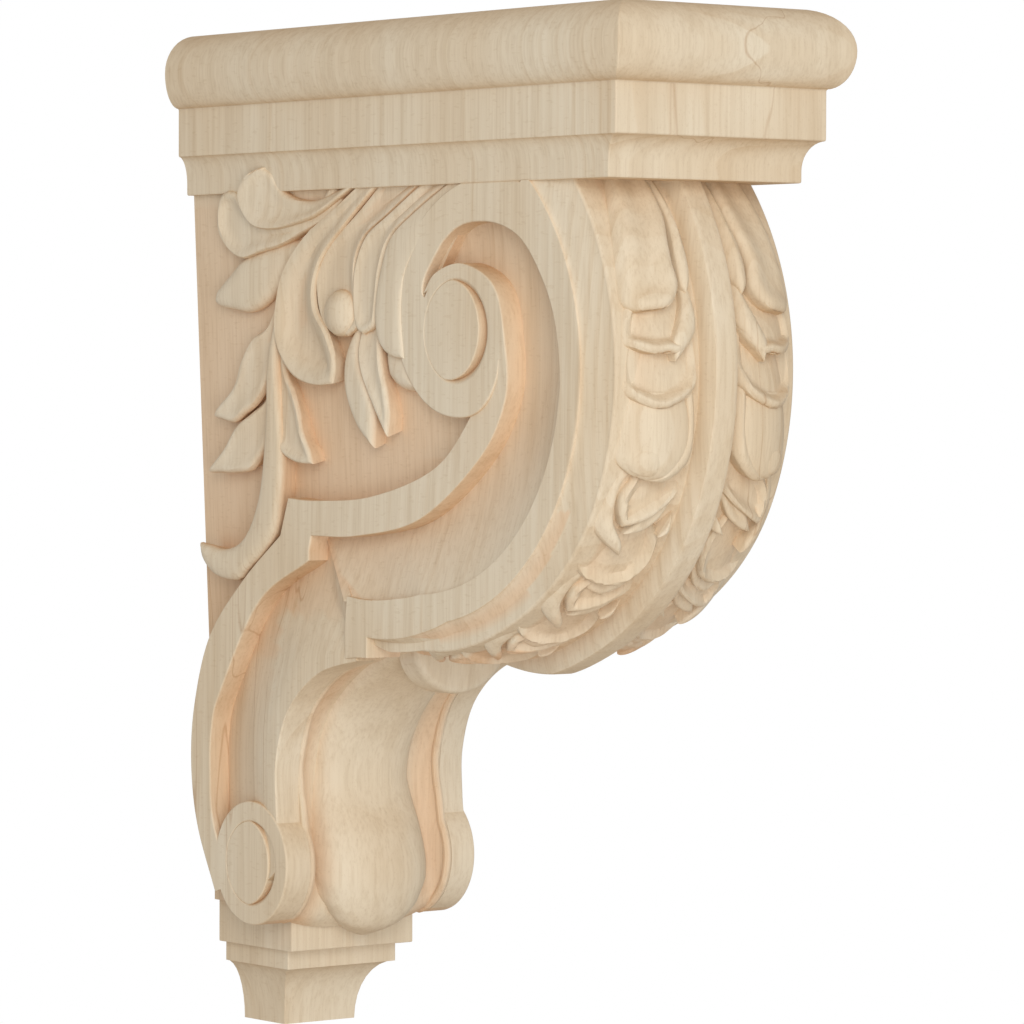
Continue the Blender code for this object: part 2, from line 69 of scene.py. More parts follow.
# %% [markdown]
# A bracket hangs on a wall, so the floor lies well below it and is only a pale ground. The light is what
# a small studio gives: a white tent all round, which lights everything a little, one soft lamp above and
# to the left in front, which draws the shadows under the leaves, and a weaker one low in front. The tent
# is seen at full white, but gives the wood less than that, so that the lamps still shape it.
# %% Floor and light
FLOOR_HEIGHT = -0.62
FLOOR_CORNERS = [(-1.4, -1.9, FLOOR_HEIGHT), (1.9, -1.9, FLOOR_HEIGHT), (1.9, 1.2, FLOOR_HEIGHT),
                 (-1.4, 1.2, FLOOR_HEIGHT)]
PAPER_SHADE, PAPER_ROUGHNESS = 0.72, 0.9
TENT_LIGHT = 0.53
LAMPS = [("left_lamp", (-1.33, -1.85, 0.69), (0.0, -0.12, 0.0), 0.9, 15.0),
         ("low_lamp", (-0.9, -1.9, -0.3), (0.0, -0.12, -0.05), 0.8, 11.5)]


def linked(obj):
    """Puts an object into the scene and hands it back."""
    bpy.context.scene.collection.objects.link(obj)
    return obj


floor_mesh = bpy.data.meshes.new("floor")
floor_mesh.from_pydata(FLOOR_CORNERS, [], [(0, 1, 2, 3)])
floor = linked(bpy.data.objects.new("floor", floor_mesh))
paper = bpy.data.materials.new("white_paper")
paper.use_nodes = True
paper_inputs = paper.node_tree.nodes["Principled BSDF"].inputs
paper_inputs["Base Color"].default_value = (PAPER_SHADE, PAPER_SHADE, PAPER_SHADE, 1.0)
paper_inputs["Roughness"].default_value = PAPER_ROUGHNESS
floor_mesh.materials.append(paper)

room = bpy.data.worlds.new("studio")
room.use_nodes = True
tent = room.node_tree.nodes
seen = tent.new("ShaderNodeLightPath")
strength = tent.new("ShaderNodeMapRange")
strength.inputs["To Min"].default_value = TENT_LIGHT
strength.inputs["To Max"].default_value = 1.0
room.node_tree.links.new(seen.outputs["Is Camera Ray"], strength.inputs["Value"])
room.node_tree.links.new(strength.outputs["Result"], tent["Background"].inputs["Strength"])
tent["Background"].inputs["Color"].default_value = (1.0, 1.0, 1.0, 1.0)
bpy.context.scene.world = room
bpy.context.scene.view_settings.view_transform = "Standard"


def soft_lamp(name, place, aim, size, watts):
    """A square lamp at a place, turned so that it shines along the line to its aim."""
    lamp = linked(bpy.data.objects.new(name, bpy.data.lights.new(name, "AREA")))
    lamp.data.size = size
    lamp.data.energy = watts
    back = np.array(place, dtype=float) - np.array(aim, dtype=float)
    back /= np.linalg.norm(back)
    side = np.cross([0.0, 0.0, 1.0], back)
    side /= np.linalg.norm(side)
    turn = np.eye(4)
    turn[:3, :3] = np.stack([side, np.cross(back, side), back], axis=1)
    turn[:3, 3] = place
    lamp.matrix_world = Matrix(turn.tolist())
    return lamp


for name, place, aim, size, watts in LAMPS:
    soft_lamp(name, place, aim, size, watts)
print("tent", TENT_LIGHT, "and", len(LAMPS), "lamps")

# %% [markdown]
# Sizes come first. They repeat the CAD model's own sizes in millimetres: heights are from the foot's
# underside, depths from the wall, and half widths from the centre line. Levels on the sides are half
# widths too: the band is the proudest flat face, and the channel, rim, core and leg's front lie below it.
# %% Sizes of the body
CORBEL_HEIGHT = 355.6
CAP_UNDERSIDE = 298.3
BAND = 41.8
CHANNEL_FLOOR = BAND - 8.5
RIM = BAND - 3.5
CORE = CHANNEL_FLOOR - 4.0
LEG_INNER = BAND - 10.5
ROLL_CENTRE = np.array([140.0, 236.0])
RIM_RADIUS, TAIL_RADIUS = 100.0, 95.5
BAND_OUTER, BAND_INNER = 86.0, 76.0
ROLL_START, ROLL_END = 42.0, -106.0
ARRIS = 0.7
HAIR = 0.05
print("body from", -CORBEL_HEIGHT / 2, "to", CORBEL_HEIGHT / 2, "mm")

# %% [markdown]
# A carver draws curves through a few set-out points with a bent batten. The same is done here with one
# smooth curve (Catmull-Rom): it passes through every point, and its direction at each is the line joining
# that point's neighbours. Bezier handles could do it too, but points read off the work are enough here.
# %% Curves
def smooth_curve(points, steps=12):
    """Cubic weights of four neighbouring points, evaluated for all spans and steps at once."""
    p = np.asarray(points, dtype=float)
    q = np.vstack([2 * p[0] - p[1], p, 2 * p[-1] - p[-2]])
    t = np.linspace(0, 1, steps, endpoint=False)
    weights = 0.5 * np.stack([-t + 2 * t ** 2 - t ** 3, 2 - 5 * t ** 2 + 3 * t ** 3,
                              t + 4 * t ** 2 - 3 * t ** 3, t ** 3 - t ** 2], axis=1)
    windows = np.stack([q[:-3], q[1:-2], q[2:-1], q[3:]], axis=1)
    return np.vstack([np.einsum("sk,nkd->nsd", weights, windows).reshape(-1, p.shape[1]), p[-1:]])


def at_shares(curve, shares):
    """Points of a curve at shares of its length, from 0 at its start to 1 at its end."""
    run = np.concatenate([[0.0], np.cumsum(np.linalg.norm(np.diff(curve, axis=0), axis=1))])
    wanted = np.asarray(shares) * run[-1]
    return np.stack([np.interp(wanted, run, curve[:, k]) for k in range(curve.shape[1])], axis=1)


def even(curve, count):
    """So many points at equal steps of a curve's length."""
    return at_shares(curve, np.linspace(0, 1, count))


def polar(centre, turns, radius):
    """Points at angles in degrees, counted from the front towards the top, and radii about a centre."""
    turns = np.radians(turns)
    return np.stack([centre[0] + radius * np.cos(turns), centre[1] + radius * np.sin(turns)], axis=-1)


def under_cap(curve):
    """The same points, none of them higher than the cap's underside."""
    return np.stack([curve[..., 0], np.minimum(curve[..., 1], CAP_UNDERSIDE + 0.2)], axis=-1)


def smooth_at(wanted, places, values):
    """A smooth curve through (place, value) pairs, read at the wanted places."""
    curve = smooth_curve(np.stack([places, values], axis=1))
    return np.interp(wanted, curve[:, 0], curve[:, 1])


def inside_round(curve, radius):
    """The same points, none of them further than a radius from the roll's centre."""
    away = curve - ROLL_CENTRE
    far = np.linalg.norm(away, axis=-1, keepdims=True)
    return ROLL_CENTRE + away * np.minimum(1.0, radius / np.maximum(far, 1e-9))


def left_of(curve, closed=False):
    """Unit normals to the left of a curve's direction."""
    if closed:
        along = np.roll(curve, -1, axis=0) - np.roll(curve, 1, axis=0)
    else:
        along = np.gradient(curve, axis=0)
    along = along / np.maximum(np.linalg.norm(along, axis=1), 1e-9)[:, None]
    return np.stack([-along[:, 1], along[:, 0]], axis=1)


def arc_shares(steps=3):
    """Insets and drops of a quarter round: it leaves the wall at a drop of one and ends flat at an inset of one."""
    turns = np.linspace(0, np.pi / 2, steps + 1)
    return list(zip(1 - np.cos(turns), 1 - np.sin(turns)))


print("a quarter round of one millimetre, as inset and drop:", np.round(arc_shares(), 2).tolist())

# %% [markdown]
# Everything is built of closed shells: rings of points with equal counts are skinned one to the next, and
# the two end rings are filled. Boolean cuts could carve a block the way a gouge does, but they break the
# fine grids that smooth curves need. So shells that belong together sink into each other, and share one
# mesh at the end. A shell whose faces point inwards has a negative volume, and is turned round.
# %% Shells
shells = []


def add_shell(points, quads, ends):
    """Keeps a closed shell, turned so that the sum over its triangles of a . (b x c), six volumes, is positive."""
    fans = [np.stack([np.full(len(end) - 2, end[0]), end[1:-1], end[2:]], axis=1) for end in ends]
    triangles = np.vstack([quads[:, [0, 1, 2]], quads[:, [0, 2, 3]]] + fans)
    a, b, c = (points[triangles[:, k]] for k in range(3))
    if np.einsum("ij,ij->", a, np.cross(b, c)) < 0:
        quads, ends = quads[:, ::-1], [end[::-1] for end in ends]
    shells.append((points, quads, ends))


def loft(rings):
    """Closed shell through an array of rings: ring number, point round the ring, place."""
    rings = np.asarray(rings, dtype=float)
    count, size = rings.shape[:2]
    index = np.arange(count * size).reshape(count, size)
    onward = np.roll(index, -1, axis=1)
    quads = np.stack([index[:-1], onward[:-1], onward[1:], index[1:]], axis=-1).reshape(-1, 4)
    add_shell(rings.reshape(-1, 3), quads, [index[0][::-1], index[-1]])


def both_sides(rings):
    """The same shell on the left side and, mirrored, on the right."""
    rings = np.asarray(rings, dtype=float)
    loft(rings)
    loft(rings * [-1.0, 1.0, 1.0])


def on_side(curve, level):
    """Depth and height points set on the left side at a half width, which may vary from point to point."""
    curve = np.asarray(curve, dtype=float)
    return np.stack([-np.broadcast_to(level, curve.shape[:-1]), -curve[..., 0], curve[..., 1]], axis=-1)


print("shells at the start:", len(shells))

# %% [markdown]
# The cap and the foot are mouldings run round three sides, with mitred corners, and cut flat at the wall.
# A curve with a bevel object could carry them, but it gives both directions the same reach. Here each is one
# profile of three numbers: how far it stands out at the sides, how far at the front, and its height. Its
# corners are eased by a small curve first, because sanded wood has no knife edge.
# %% Cap and foot
def ease_corners(profile, radius, steps=3):
    """Replaces each corner by a parabola between points a radius before and after it, or half a side if shorter."""
    p = np.asarray(profile, dtype=float)
    before, after = p[:-2] - p[1:-1], p[2:] - p[1:-1]
    near = np.linalg.norm(before, axis=1)[:, None]
    far = np.linalg.norm(after, axis=1)[:, None]
    start = p[1:-1] + before / near * np.minimum(radius, near / 2)
    end = p[1:-1] + after / far * np.minimum(radius, far / 2)
    t = np.linspace(0, 1, steps + 1)[None, :, None]
    curve = (1 - t) ** 2 * start[:, None] + 2 * t * (1 - t) * p[1:-1][:, None] + t ** 2 * end[:, None]
    return np.vstack([p[:1], curve.reshape(-1, p.shape[1]), p[-1:]])


def run_round(profile, mitre=0.8):
    """One ring per profile point: wall, side, eased mitre, front, eased mitre, side, wall."""
    side, reach, height = profile.T
    ease = mitre * 0.3
    corners = [(-side, 0 * reach), (-side, mitre - reach), (-side + ease, ease - reach), (-side + mitre, -reach),
               (side - mitre, -reach), (side - ease, ease - reach), (side, mitre - reach), (side, 0 * reach)]
    return np.stack([np.stack([x, y, height], axis=1) for x, y in corners], axis=1)


def quarter(steps=10):
    """Sines, and one less the cosines, of a quarter turn."""
    turns = np.linspace(0, np.pi / 2, steps + 1)
    return np.sin(turns), 1 - np.cos(turns)


CAP_EASE, FOOT_EASE = 0.8, 0.6
LIP_SIDE, LIP_REACH, LIP_HEIGHT = BAND - 0.3, 240.0, 4.0
COVE_SIDE, COVE_REACH, COVE_HEIGHT = 3.7, 8.1, 9.8
NOSE_SIDE, NOSE_REACH, NOSE_LOWER, NOSE_UPPER = 6.0, 8.6, 12.6, 13.8
FASCIA_TOP = CAP_UNDERSIDE + 30.9
NOSE_MIDDLE = CORBEL_HEIGHT - NOSE_UPPER
rise, out = quarter()
cove = np.stack([LIP_SIDE + COVE_SIDE * out, LIP_REACH + COVE_REACH * out,
                 CAP_UNDERSIDE + LIP_HEIGHT + COVE_HEIGHT * rise], axis=1)
fascia_side, fascia_reach = LIP_SIDE + COVE_SIDE, LIP_REACH + COVE_REACH
nose_under = np.stack([fascia_side + NOSE_SIDE * rise, fascia_reach + NOSE_REACH * rise,
                       FASCIA_TOP + NOSE_LOWER * out], axis=1)
nose_over = np.stack([fascia_side + NOSE_SIDE - NOSE_UPPER * out, fascia_reach + NOSE_REACH - NOSE_UPPER * out,
                      NOSE_MIDDLE + NOSE_UPPER * rise], axis=1)
lip = [(LIP_SIDE - 8, LIP_REACH - 8, CAP_UNDERSIDE), (LIP_SIDE, LIP_REACH, CAP_UNDERSIDE)]
underside = ease_corners(np.vstack([lip, cove[:1]]), CAP_EASE)
fascia = ease_corners(np.vstack([cove[-2:], nose_under[:2]]), CAP_EASE)
loft(run_round(np.vstack([underside, cove[1:-2], fascia, nose_under[2:], nose_over[1:]])))

FILLET_SIDE, FILLET_REACH, FILLET_TOP = 24.0, 38.6, 28.7
BLOCK_SIDE, BLOCK_REACH, BLOCK_TOP = 27.0, 45.0, 50.0
FOOT_COVE_SIDE, FOOT_COVE_REACH, FOOT_COVE_HEIGHT = 8.3, 13.7, 21.6
rise, out = quarter(8)
foot_cove = np.stack([FILLET_SIDE - FOOT_COVE_SIDE * (1 - out), FILLET_REACH - FOOT_COVE_REACH * (1 - out),
                      FOOT_COVE_HEIGHT * rise], axis=1)
foot_top = [foot_cove[-1], (FILLET_SIDE, FILLET_REACH, FILLET_TOP), (BLOCK_SIDE, BLOCK_REACH, FILLET_TOP),
            (BLOCK_SIDE, BLOCK_REACH, BLOCK_TOP)]
loft(run_round(np.vstack([foot_cove[:-1], ease_corners(foot_top, FOOT_EASE)]), FOOT_EASE))
print("cap and foot:", sum(len(quads) for points, quads, ends in shells), "faces")

# %% [markdown]
# The big roll is swept about one centre. A ring is the section across the front: two smooth rim strips and
# the bed that the leaves stand on, a little higher towards the middle. The rib down the middle is a flat
# strip with rounded shoulders that fades out at the tail. A Screw modifier would turn the section as well,
# but it couldn't change the radius on the way, as the tail needs.
# %% Round front
def rim_radius(turn):
    """Radius of the rim: 100 mm, easing to 95.5 mm between 25 and 70 degrees below the level."""
    ease = np.clip((-25.0 - turn) / 45.0, 0, 1)
    return RIM_RADIUS + (TAIL_RADIUS - RIM_RADIUS) * ease * ease * (3 - 2 * ease)


def on_roll(turn, x, rise):
    """Point at an angle down the roll, a place across, and a rise over the rim."""
    turn, x, rise = np.broadcast_arrays(np.asarray(turn, float), np.asarray(x, float), np.asarray(rise, float))
    round_off = polar(ROLL_CENTRE, turn, rim_radius(turn) + rise)
    return np.stack([x, -round_off[..., 0], round_off[..., 1]], axis=-1)


def bed_rise(x):
    """Rise of the leaf bed: eased edge at the rim, a slow slope over the strip, a steeper one to the rib."""
    side = np.abs(x)
    edge = np.clip((side - (RIM - 1.0)) / 1.0, 0, 1)
    return np.interp(side, [6.5, 12.0, 30.0, RIM], [4.0, 2.6, 1.2, 0.0]) - (1 - np.sqrt(1 - edge ** 2))


rim_round = RIM - 1 + np.sin(np.linspace(0, np.pi / 2, 5))
half_across = np.concatenate([np.linspace(0, 29, 13), [30.0, 31.5, 34.0, 36.0], rim_round])
across = np.concatenate([-half_across[::-1], half_across[1:]])
turns = np.linspace(ROLL_START + 6, ROLL_END, 110)
bed = on_roll(turns[:, None], across[None, :], bed_rise(across)[None, :])
inner = on_roll(turns[:, None], np.array([[RIM, -RIM]]), -12.0)
loft(np.concatenate([bed, inner], axis=1))

RIB_HALF, RIB_RISE = 6.5, 10.8
fade = np.clip((turns - ROLL_END - 4) / 26.0, 0.05, 1.0)[:, None]
t = np.sin(np.linspace(-np.pi / 2, np.pi / 2, 21))[None, :]
rib_profile = np.sin(np.pi / 2 * np.clip((1 - np.abs(t)) / 0.36, 0, 1)) ** 0.8
rib_turns = np.maximum(turns, ROLL_END + 3)[:, None]
rib = on_roll(rib_turns, RIB_HALF * (0.6 + 0.4 * fade) * t, 2.0 + (RIB_RISE - 2.0) * rib_profile * fade)
rib_root = on_roll(rib_turns, RIB_HALF * (0.6 + 0.4 * fade) * np.array([[1.0, -1.0]]), -3.0)
loft(np.concatenate([rib, rib_root], axis=1))
print("round front:", len(shells[-2][1]) + len(shells[-1][1]), "faces")

# %% [markdown]
# Each carved side is built up of flat straps with rounded arrises. A strap lies between two edge curves
# with the same number of points. Its section goes up one wall, round the arris, across, round the other
# arris and down again. A channel floor is the same thing with a level that climbs from one edge to the
# other. A Bevel modifier would round the arrises too, but not where straps of different heights run together.
# %% Straps and boards
def strap(first, second, first_top, second_top, base, arris=ARRIS, across=1, bend=1.0):
    """Section points at a share of the way from the first edge: the level goes from one top to the other by the
    share to the power of the bend, less the drop of the arris."""
    first, second = np.asarray(first, float), np.asarray(second, float)
    gap = second - first
    width = np.maximum(np.linalg.norm(gap, axis=1), 1e-6)
    ease = np.minimum(arris, 0.4 * width)
    first_top = np.broadcast_to(first_top, width.shape)
    second_top = np.broadcast_to(second_top, width.shape)

    def point(share, drop):
        """The section's point at a share of the way across, so much under the strap's top."""
        return on_side(first + gap * share[:, None], first_top + (second_top - first_top) * share ** bend - drop)

    section = [on_side(first, base)]
    section += [point(ease * i / width, ease * d) for i, d in arc_shares()]
    section += [point(np.full(len(width), s), 0 * width) for s in np.linspace(0, 1, across + 1)[1:-1]]
    section += [point(1 - ease * i / width, ease * d) for i, d in arc_shares()[::-1]]
    section.append(on_side(second, base))
    both_sides(np.stack(section, axis=1))


def side_board(outline, base, top, arris=ARRIS):
    """A board sawn to a closed outline, its top edge rounded by moving the outline inwards."""
    outline = np.asarray(outline, float)
    area = np.sum(outline[:, 0] * np.roll(outline[:, 1], -1) - outline[:, 1] * np.roll(outline[:, 0], -1))
    inward = left_of(outline, closed=True) * np.sign(area)
    rings = [on_side(outline, base)]
    rings += [on_side(outline + inward * arris * i, top - arris * d) for i, d in arc_shares()]
    both_sides(np.stack(rings))


def through_board(outline, half):
    """A board sawn to a closed outline, right through from one side to the other."""
    loft(np.stack([on_side(outline, half), on_side(outline, -half)]))


core_roll = polar(ROLL_CENTRE, np.linspace(50, -100, 40), 84.0)
core_leg = smooth_curve([(92, 150), (66, 128), (50, 110), (42, 90), (40, 66), (36, 44)], 6)
CORE_TOP, CORE_FOOT, CORE_BACK = 302, 44, 0.3
core_outline = np.vstack([[(CORE_BACK, CORE_TOP), (core_roll[0, 0], CORE_TOP)], core_roll, core_leg,
                          [(CORE_BACK, CORE_FOOT)]])
through_board(core_outline, CORE)
print("core:", len(core_outline), "points round,", round(2 * CORE, 1), "mm thick")

# %% [markdown]
# The flat band follows the roll and ends in a square block at its tail, where it leaves the round and runs
# out level. Outside the band a hollow steps down to a fillet, which meets the front rim. Band, hollow and
# fillet are one section of (radius, level) pairs, because a carver works them as one moulding. The channel
# is a ramp: deepest under the strap, climbing until it is level with the band. A scoop marks its end.
# %% Band, hollow and channel
turns = np.linspace(50, -109, 170)
inner = np.interp(turns, [-109, -100, -90, -80], [83.5, 79.2, 76.0, BAND_INNER - 0.4])
outer = np.interp(turns, [-109, -100, -90, -80], [97.2, 93.4, 89.3, BAND_OUTER])
width = np.interp(turns, [-109, -100, -90, -80, -60, -35], [0.6, 1.2, 2.4, 3.6, 4.4, 6.0])
rim_edge = rim_radius(turns) - 0.9 + np.interp(turns, [-109, -103, -98, -90], [4.7, 4.5, 2.5, 0.0])
ease = 0.6 * np.clip((turns + 10) / 20, 0, 1)
band_section = [(inner, CORE - 2), (inner, BAND - ease), (inner + 0.3 * ease, BAND - 0.3 * ease),
                (inner + ease, BAND), (outer - 0.6, BAND), (outer - 0.18, BAND - 0.18), (outer, BAND - 0.6)]
steep = np.clip((-20.0 - turns) / 35.0, 0, 1)
hollow_top, fillet_edge = BAND - 0.8, RIM + 0.15
fillet = fillet_edge + 1.1 * (1 - steep)
band_section += [(outer + 0.15 + width * a, hollow_top - (hollow_top - fillet) * a ** (0.6 + 0.4 * steep))
                 for a in np.linspace(0, 1, 9)]
band_section += [(rim_edge - 1.5, fillet_edge), (rim_edge, RIM - 0.05), (rim_edge, CORE - 2)]
both_sides(np.stack([on_side(under_cap(polar(ROLL_CENTRE, turns, r)), level) for r, level in band_section], axis=1))

TAIL_BLOCK = [(137, 159.4), (126, 158), (113, 157), (105, 157.2), (98, 158), (97, 152), (96.5, 145), (97, 136.2),
              (104, 136.8), (109.5, 137), (109.5, 144), (124, 144.3), (137, 147)]
side_board(TAIL_BLOCK, CORE - 2, BAND - HAIR, 0.5)

CHANNEL_WALL = [(75.3, 177.5), (104, 178.8), (139.6, 185.6), (171.6, 206.7), (185.6, 228), (185.4, 249),
                (179.5, 264.5), (163, 271.7), (148, 268.7), (141, 261.5)]
CHANNEL_EDGE = [(98, 158), (125, 158), (164.6, 164.5), (203, 194), (216, 236), (212, 255),
                (196, 278.5), (171, 285.7), (151, 278.6), (140.5, 264)]
wall, edge = smooth_curve(CHANNEL_WALL), smooth_curve(CHANNEL_EDGE)
SCOOP_DEPTH, SCOOP_START, SCOOP_LENGTH, SCOOP_POINTS = 2.0, 98, 44, 24
scoop_share = np.clip((edge[:, 0] - SCOOP_START) / SCOOP_LENGTH, 0, 1)
scoop = SCOOP_DEPTH * np.sin(np.pi * scoop_share) * (np.arange(len(edge)) < SCOOP_POINTS)
wall, edge = wall + left_of(wall) * 1.5, edge - left_of(edge) * 2.0
wall[0], edge[0] = wall[0] - [1.5, 0.0], edge[0] - [1.5, 0.0]
climb = np.interp(np.linspace(0, 1, len(wall)), [0, 0.5, 0.75, 1], [1, 1, 0.25, 0.05])
bend = np.interp(np.linspace(0, 1, len(wall)), [0, 0.22, 0.45, 1], [1.0, 1.0, 2.6, 2.6])
strap(wall, edge, CHANNEL_FLOOR, CHANNEL_FLOOR + climb * (BAND - CHANNEL_FLOOR) - HAIR - scoop, CORE - 3, arris=0.0,
      across=10, bend=bend)
print("band and channel:", len(shells), "shells so far")

# %% [markdown]
# The volute winds in to its eye. Its face is worked out on a polar grid about the eye: the outline is a
# radius for every angle, and a gouged crescent marks the eye. The crescent is deepest against the disc
# and runs out to nothing, so the level is a function of angle and radius. A ruled spiral would be too even
# for handwork, so the radii are read off the work and joined smoothly.
# %% Volutes
CRESCENT_WIDTH, GROOVE_DEPTH, CRESCENT_DEPTH = 0.28, 0.28, 4.0


def volute_edge(turn):
    """Outer radius of the volute, by angle in degrees from the front, winding past a full turn."""
    angles = [-40, 0, 20, 45, 60, 77, 110, 152, 180, 215, 260, 297, 335, 360, 398, 442]
    radii = [90, 68, 66, 62, 58.5, 52.5, 44, 37, 33.7, 30.6, 29, 29.4, 26.4, 25.5, 25.3, 22.6]
    return smooth_at(turn, angles, radii)


def channel_edge(turn):
    """Radius at which the outer turn's inner edge runs."""
    angles = [-40, -13, 0, 7, 22, 39, 47, 70, 88, 102, 118, 141, 152]
    radii = [66, 57.5, 54, 52.3, 48.9, 46.4, 44.7, 38.7, 34.9, 31.3, 27.3, 24, 19]
    return smooth_at(turn, angles, radii)


def scroll_face(centre, turns, outer, disc, start, end, base, top):
    """Rings about a centre. Inside the disc the face is flat; from the disc's edge the floor rises from the
    crescent's depth back to the face along a hollow curve; beyond it is flat to the rounded outer arris."""
    swell = np.sin(np.pi * np.clip((turns - start) / (end - start), 0, 1))
    inside = disc * (1 - CRESCENT_WIDTH * swell)
    outside = disc * 1.03 + 0 * swell
    deep = GROOVE_DEPTH + (CRESCENT_DEPTH - GROOVE_DEPTH) * swell ** 0.8
    rings = [on_side(polar(centre, turns, inside * s), top) for s in (0.02, 0.4, 0.8)]
    rings += [on_side(polar(centre, turns, inside - 0.35 * (1 - i)), top - 0.35 * i) for i in (0.0, 1.0)]
    for s in np.linspace(0, 1, 7):
        floor_drop = deep * (1 - s) ** 1.4
        rings.append(on_side(polar(centre, turns, inside + 0.25 * swell + (outside - inside - 0.25 * swell) * s),
                             top - floor_drop))
    rings += [on_side(polar(centre, turns, outer - ARRIS * i), top - ARRIS * d) for i, d in arc_shares()[::-1]]
    rings.append(on_side(polar(centre, turns, outer), base))
    both_sides(np.stack(rings))


EYE, EYE_RADIUS = np.array([159.5, 249.0]), 17.5
turns = np.concatenate([np.linspace(-212.8, 82, 150), np.linspace(84, 146.6, 34)])
last_turn = np.interp(turns, [82, 104.5, 121.5, 147], [22.6, 23.1, 23.0, 22.0])
outer = np.where(turns < 83, volute_edge(turns + 360), last_turn)
outer = outer - 0.9 * np.clip((turns + 35) / 20, 0, 1)
scroll_face(EYE, turns, outer, EYE_RADIUS, -112, 98, CORE - 2, BAND)

FOOT_EYE, FOOT_EYE_RADIUS = np.array([40.5, 61.0]), 22.0
FOOT_DISC_RADIUS = 15.0
turns = np.linspace(-180, 180, 121)[:-1]
scroll_face(FOOT_EYE, turns, np.full(len(turns), FOOT_EYE_RADIUS), FOOT_DISC_RADIUS, -95, 92, LEG_INNER, BAND)

turns = np.linspace(-35, 152, 110)
outside = under_cap(inside_round(polar(EYE, turns, volute_edge(turns)), BAND_OUTER - 0.6))
strap(outside, polar(EYE, turns, channel_edge(turns)), BAND + HAIR, BAND + HAIR, CORE - 2,
      arris=ARRIS * np.clip((turns + 10) / 25, 0.02, 1))
print("volutes done:", len(shells), "shells so far")

# %% [markdown]
# The strap crosses from the volute to the leg, a hair lower at the leg. The leg has a flat band at its
# back, a wall, and a ramp that climbs to the front edge. A sunk panel, dished deeper towards the leg, is
# the ground of the leaves. Strap, band and panel lie flat between two edge curves, so the strap's section
# serves them all; the ramp gets a section of its own, because it has no arris at its foot.
# %% Strap, leg and panel
STRAP_UPPER = [(62.7, 191), (80, 190.5), (112, 192.7), (146, 202.6), (166, 220.3), (177.5, 238), (178.4, 255),
               (168.5, 267), (158, 269), (146.6, 264.3)]
STRAP_LOWER = [(75.3, 178)] + CHANNEL_WALL[1:]
LEG_BACK = [(57.9, 177.8), (34.7, 160.9), (14.8, 141), (5.1, 116.6), (2.8, 94.5), (6.7, 72.4), (18, 49)]
LEG_WALL = [(75.3, 169.4), (45.1, 153.8), (21.4, 121.1), (15.9, 107.5), (15.1, 91.3), (17, 74), (28, 52)]
LEG_FRONT = [(103, 136), (80.2, 130.1), (62.9, 116.9), (55.4, 99.2), (55.4, 81.3), (57, 62), (44, 52)]
upper, lower = smooth_curve(STRAP_UPPER), smooth_curve(STRAP_LOWER)
dip = np.interp(np.linspace(0, 1, len(upper)), [0, 0.25, 0.36, 0.44, 0.53, 1], [0, 0.5, 1.3, 1.2, 0, 0])
strap(upper, lower, BAND - dip + HAIR, BAND - dip + HAIR, CORE - 1)
back = np.vstack([[(62.7, 191), (60.3, 184.4)], smooth_curve(LEG_BACK)])
wall = np.vstack([[(76.8, 178), (75.3, 173)], smooth_curve(LEG_WALL)])
front = np.vstack([[(99.5, 158), (97, 149)], smooth_curve(LEG_FRONT)])
strap(back, wall, BAND - HAIR, BAND - HAIR, CORE - 1)
tuck = wall + (back - wall) / np.linalg.norm(back - wall, axis=1)[:, None]
flat_from = np.interp(np.linspace(0, 1, len(wall)), [0, 0.03, 0.1, 0.2, 0.5, 1], [1.0, 0.98, 0.86, 0.76, 0.84, 0.94])
under = np.interp(np.arange(len(wall)), [0, 1, 6], [0.6, 0.25, 0.0])
section = [on_side(tuck, LEG_INNER)]
for s in np.linspace(0, 1, 9):
    rise = np.clip(s / flat_from, 0, 1)
    section.append(on_side(tuck + (front - tuck) * s, CHANNEL_FLOOR + (BAND - 0.35 - CHANNEL_FLOOR) * rise - under))
outward = (front - tuck) / np.linalg.norm(front - tuck, axis=1)[:, None]
section.append(on_side(front + outward * 0.4, BAND - 0.9))
section.append(on_side(front + outward * 0.4, LEG_INNER))
both_sides(np.stack(section, axis=1))

PANEL_EDGE = [(172, 299), (146, 270), (138, 250), (142, 232), (166, 222), (154, 208), (124, 196), (74, 184),
              (60, 172), (42, 158), (28, 146), (20, 134)]
PANEL_SUNK, PANEL_DISH = 3.2, 7.1
ground = smooth_curve(PANEL_EDGE, 5)
share = (ground[0, 1] - ground[:, 1]) / (ground[0, 1] - ground[-1, 1])
level = BAND - PANEL_SUNK - PANEL_DISH * share
back_edge = np.stack([0 * share + HAIR, ground[:, 1]], axis=1)
strap(back_edge, ground, level, level, CORE - 2, arris=0.0, across=6)
print("strap, leg and panel:", len(shells), "shells so far")

# %% [markdown]
# Between its two rims the leg is hollowed, and swells into a cushion above the foot. A thin bead runs
# along each rim. The hollow is a surface between two side curves: across it, an arch from edge to middle
# to edge; towards the rims a cove that climbs back to the bead. Sculpting could make the cushion, but a
# grid over two curves stays smooth, and its width and swell are easy to correct.
# %% Front of the leg
COUNT = 90
CUSHION_LINE = [(52, 33.7), (62, 39), (67.5, 54), (65, 69), (58.5, 82), (57, 93), (61, 106), (72, 120), (92, 132),
                (120, 141)]
CUSHION_EDGE = [(47, 37), (52, 43), (54, 56), (53, 70), (51, 84), (51, 95), (56, 108), (67, 121), (88, 134),
                (118, 142)]
RIM_ABOVE_FOOT = [(56.5, 81), (54.6, 90), (54.8, 99.5), (62.2, 117.4), (79.8, 131), (102, 137), (112, 142)]
middle = even(smooth_curve(CUSHION_LINE), COUNT)
side = even(smooth_curve(CUSHION_EDGE), COUNT)
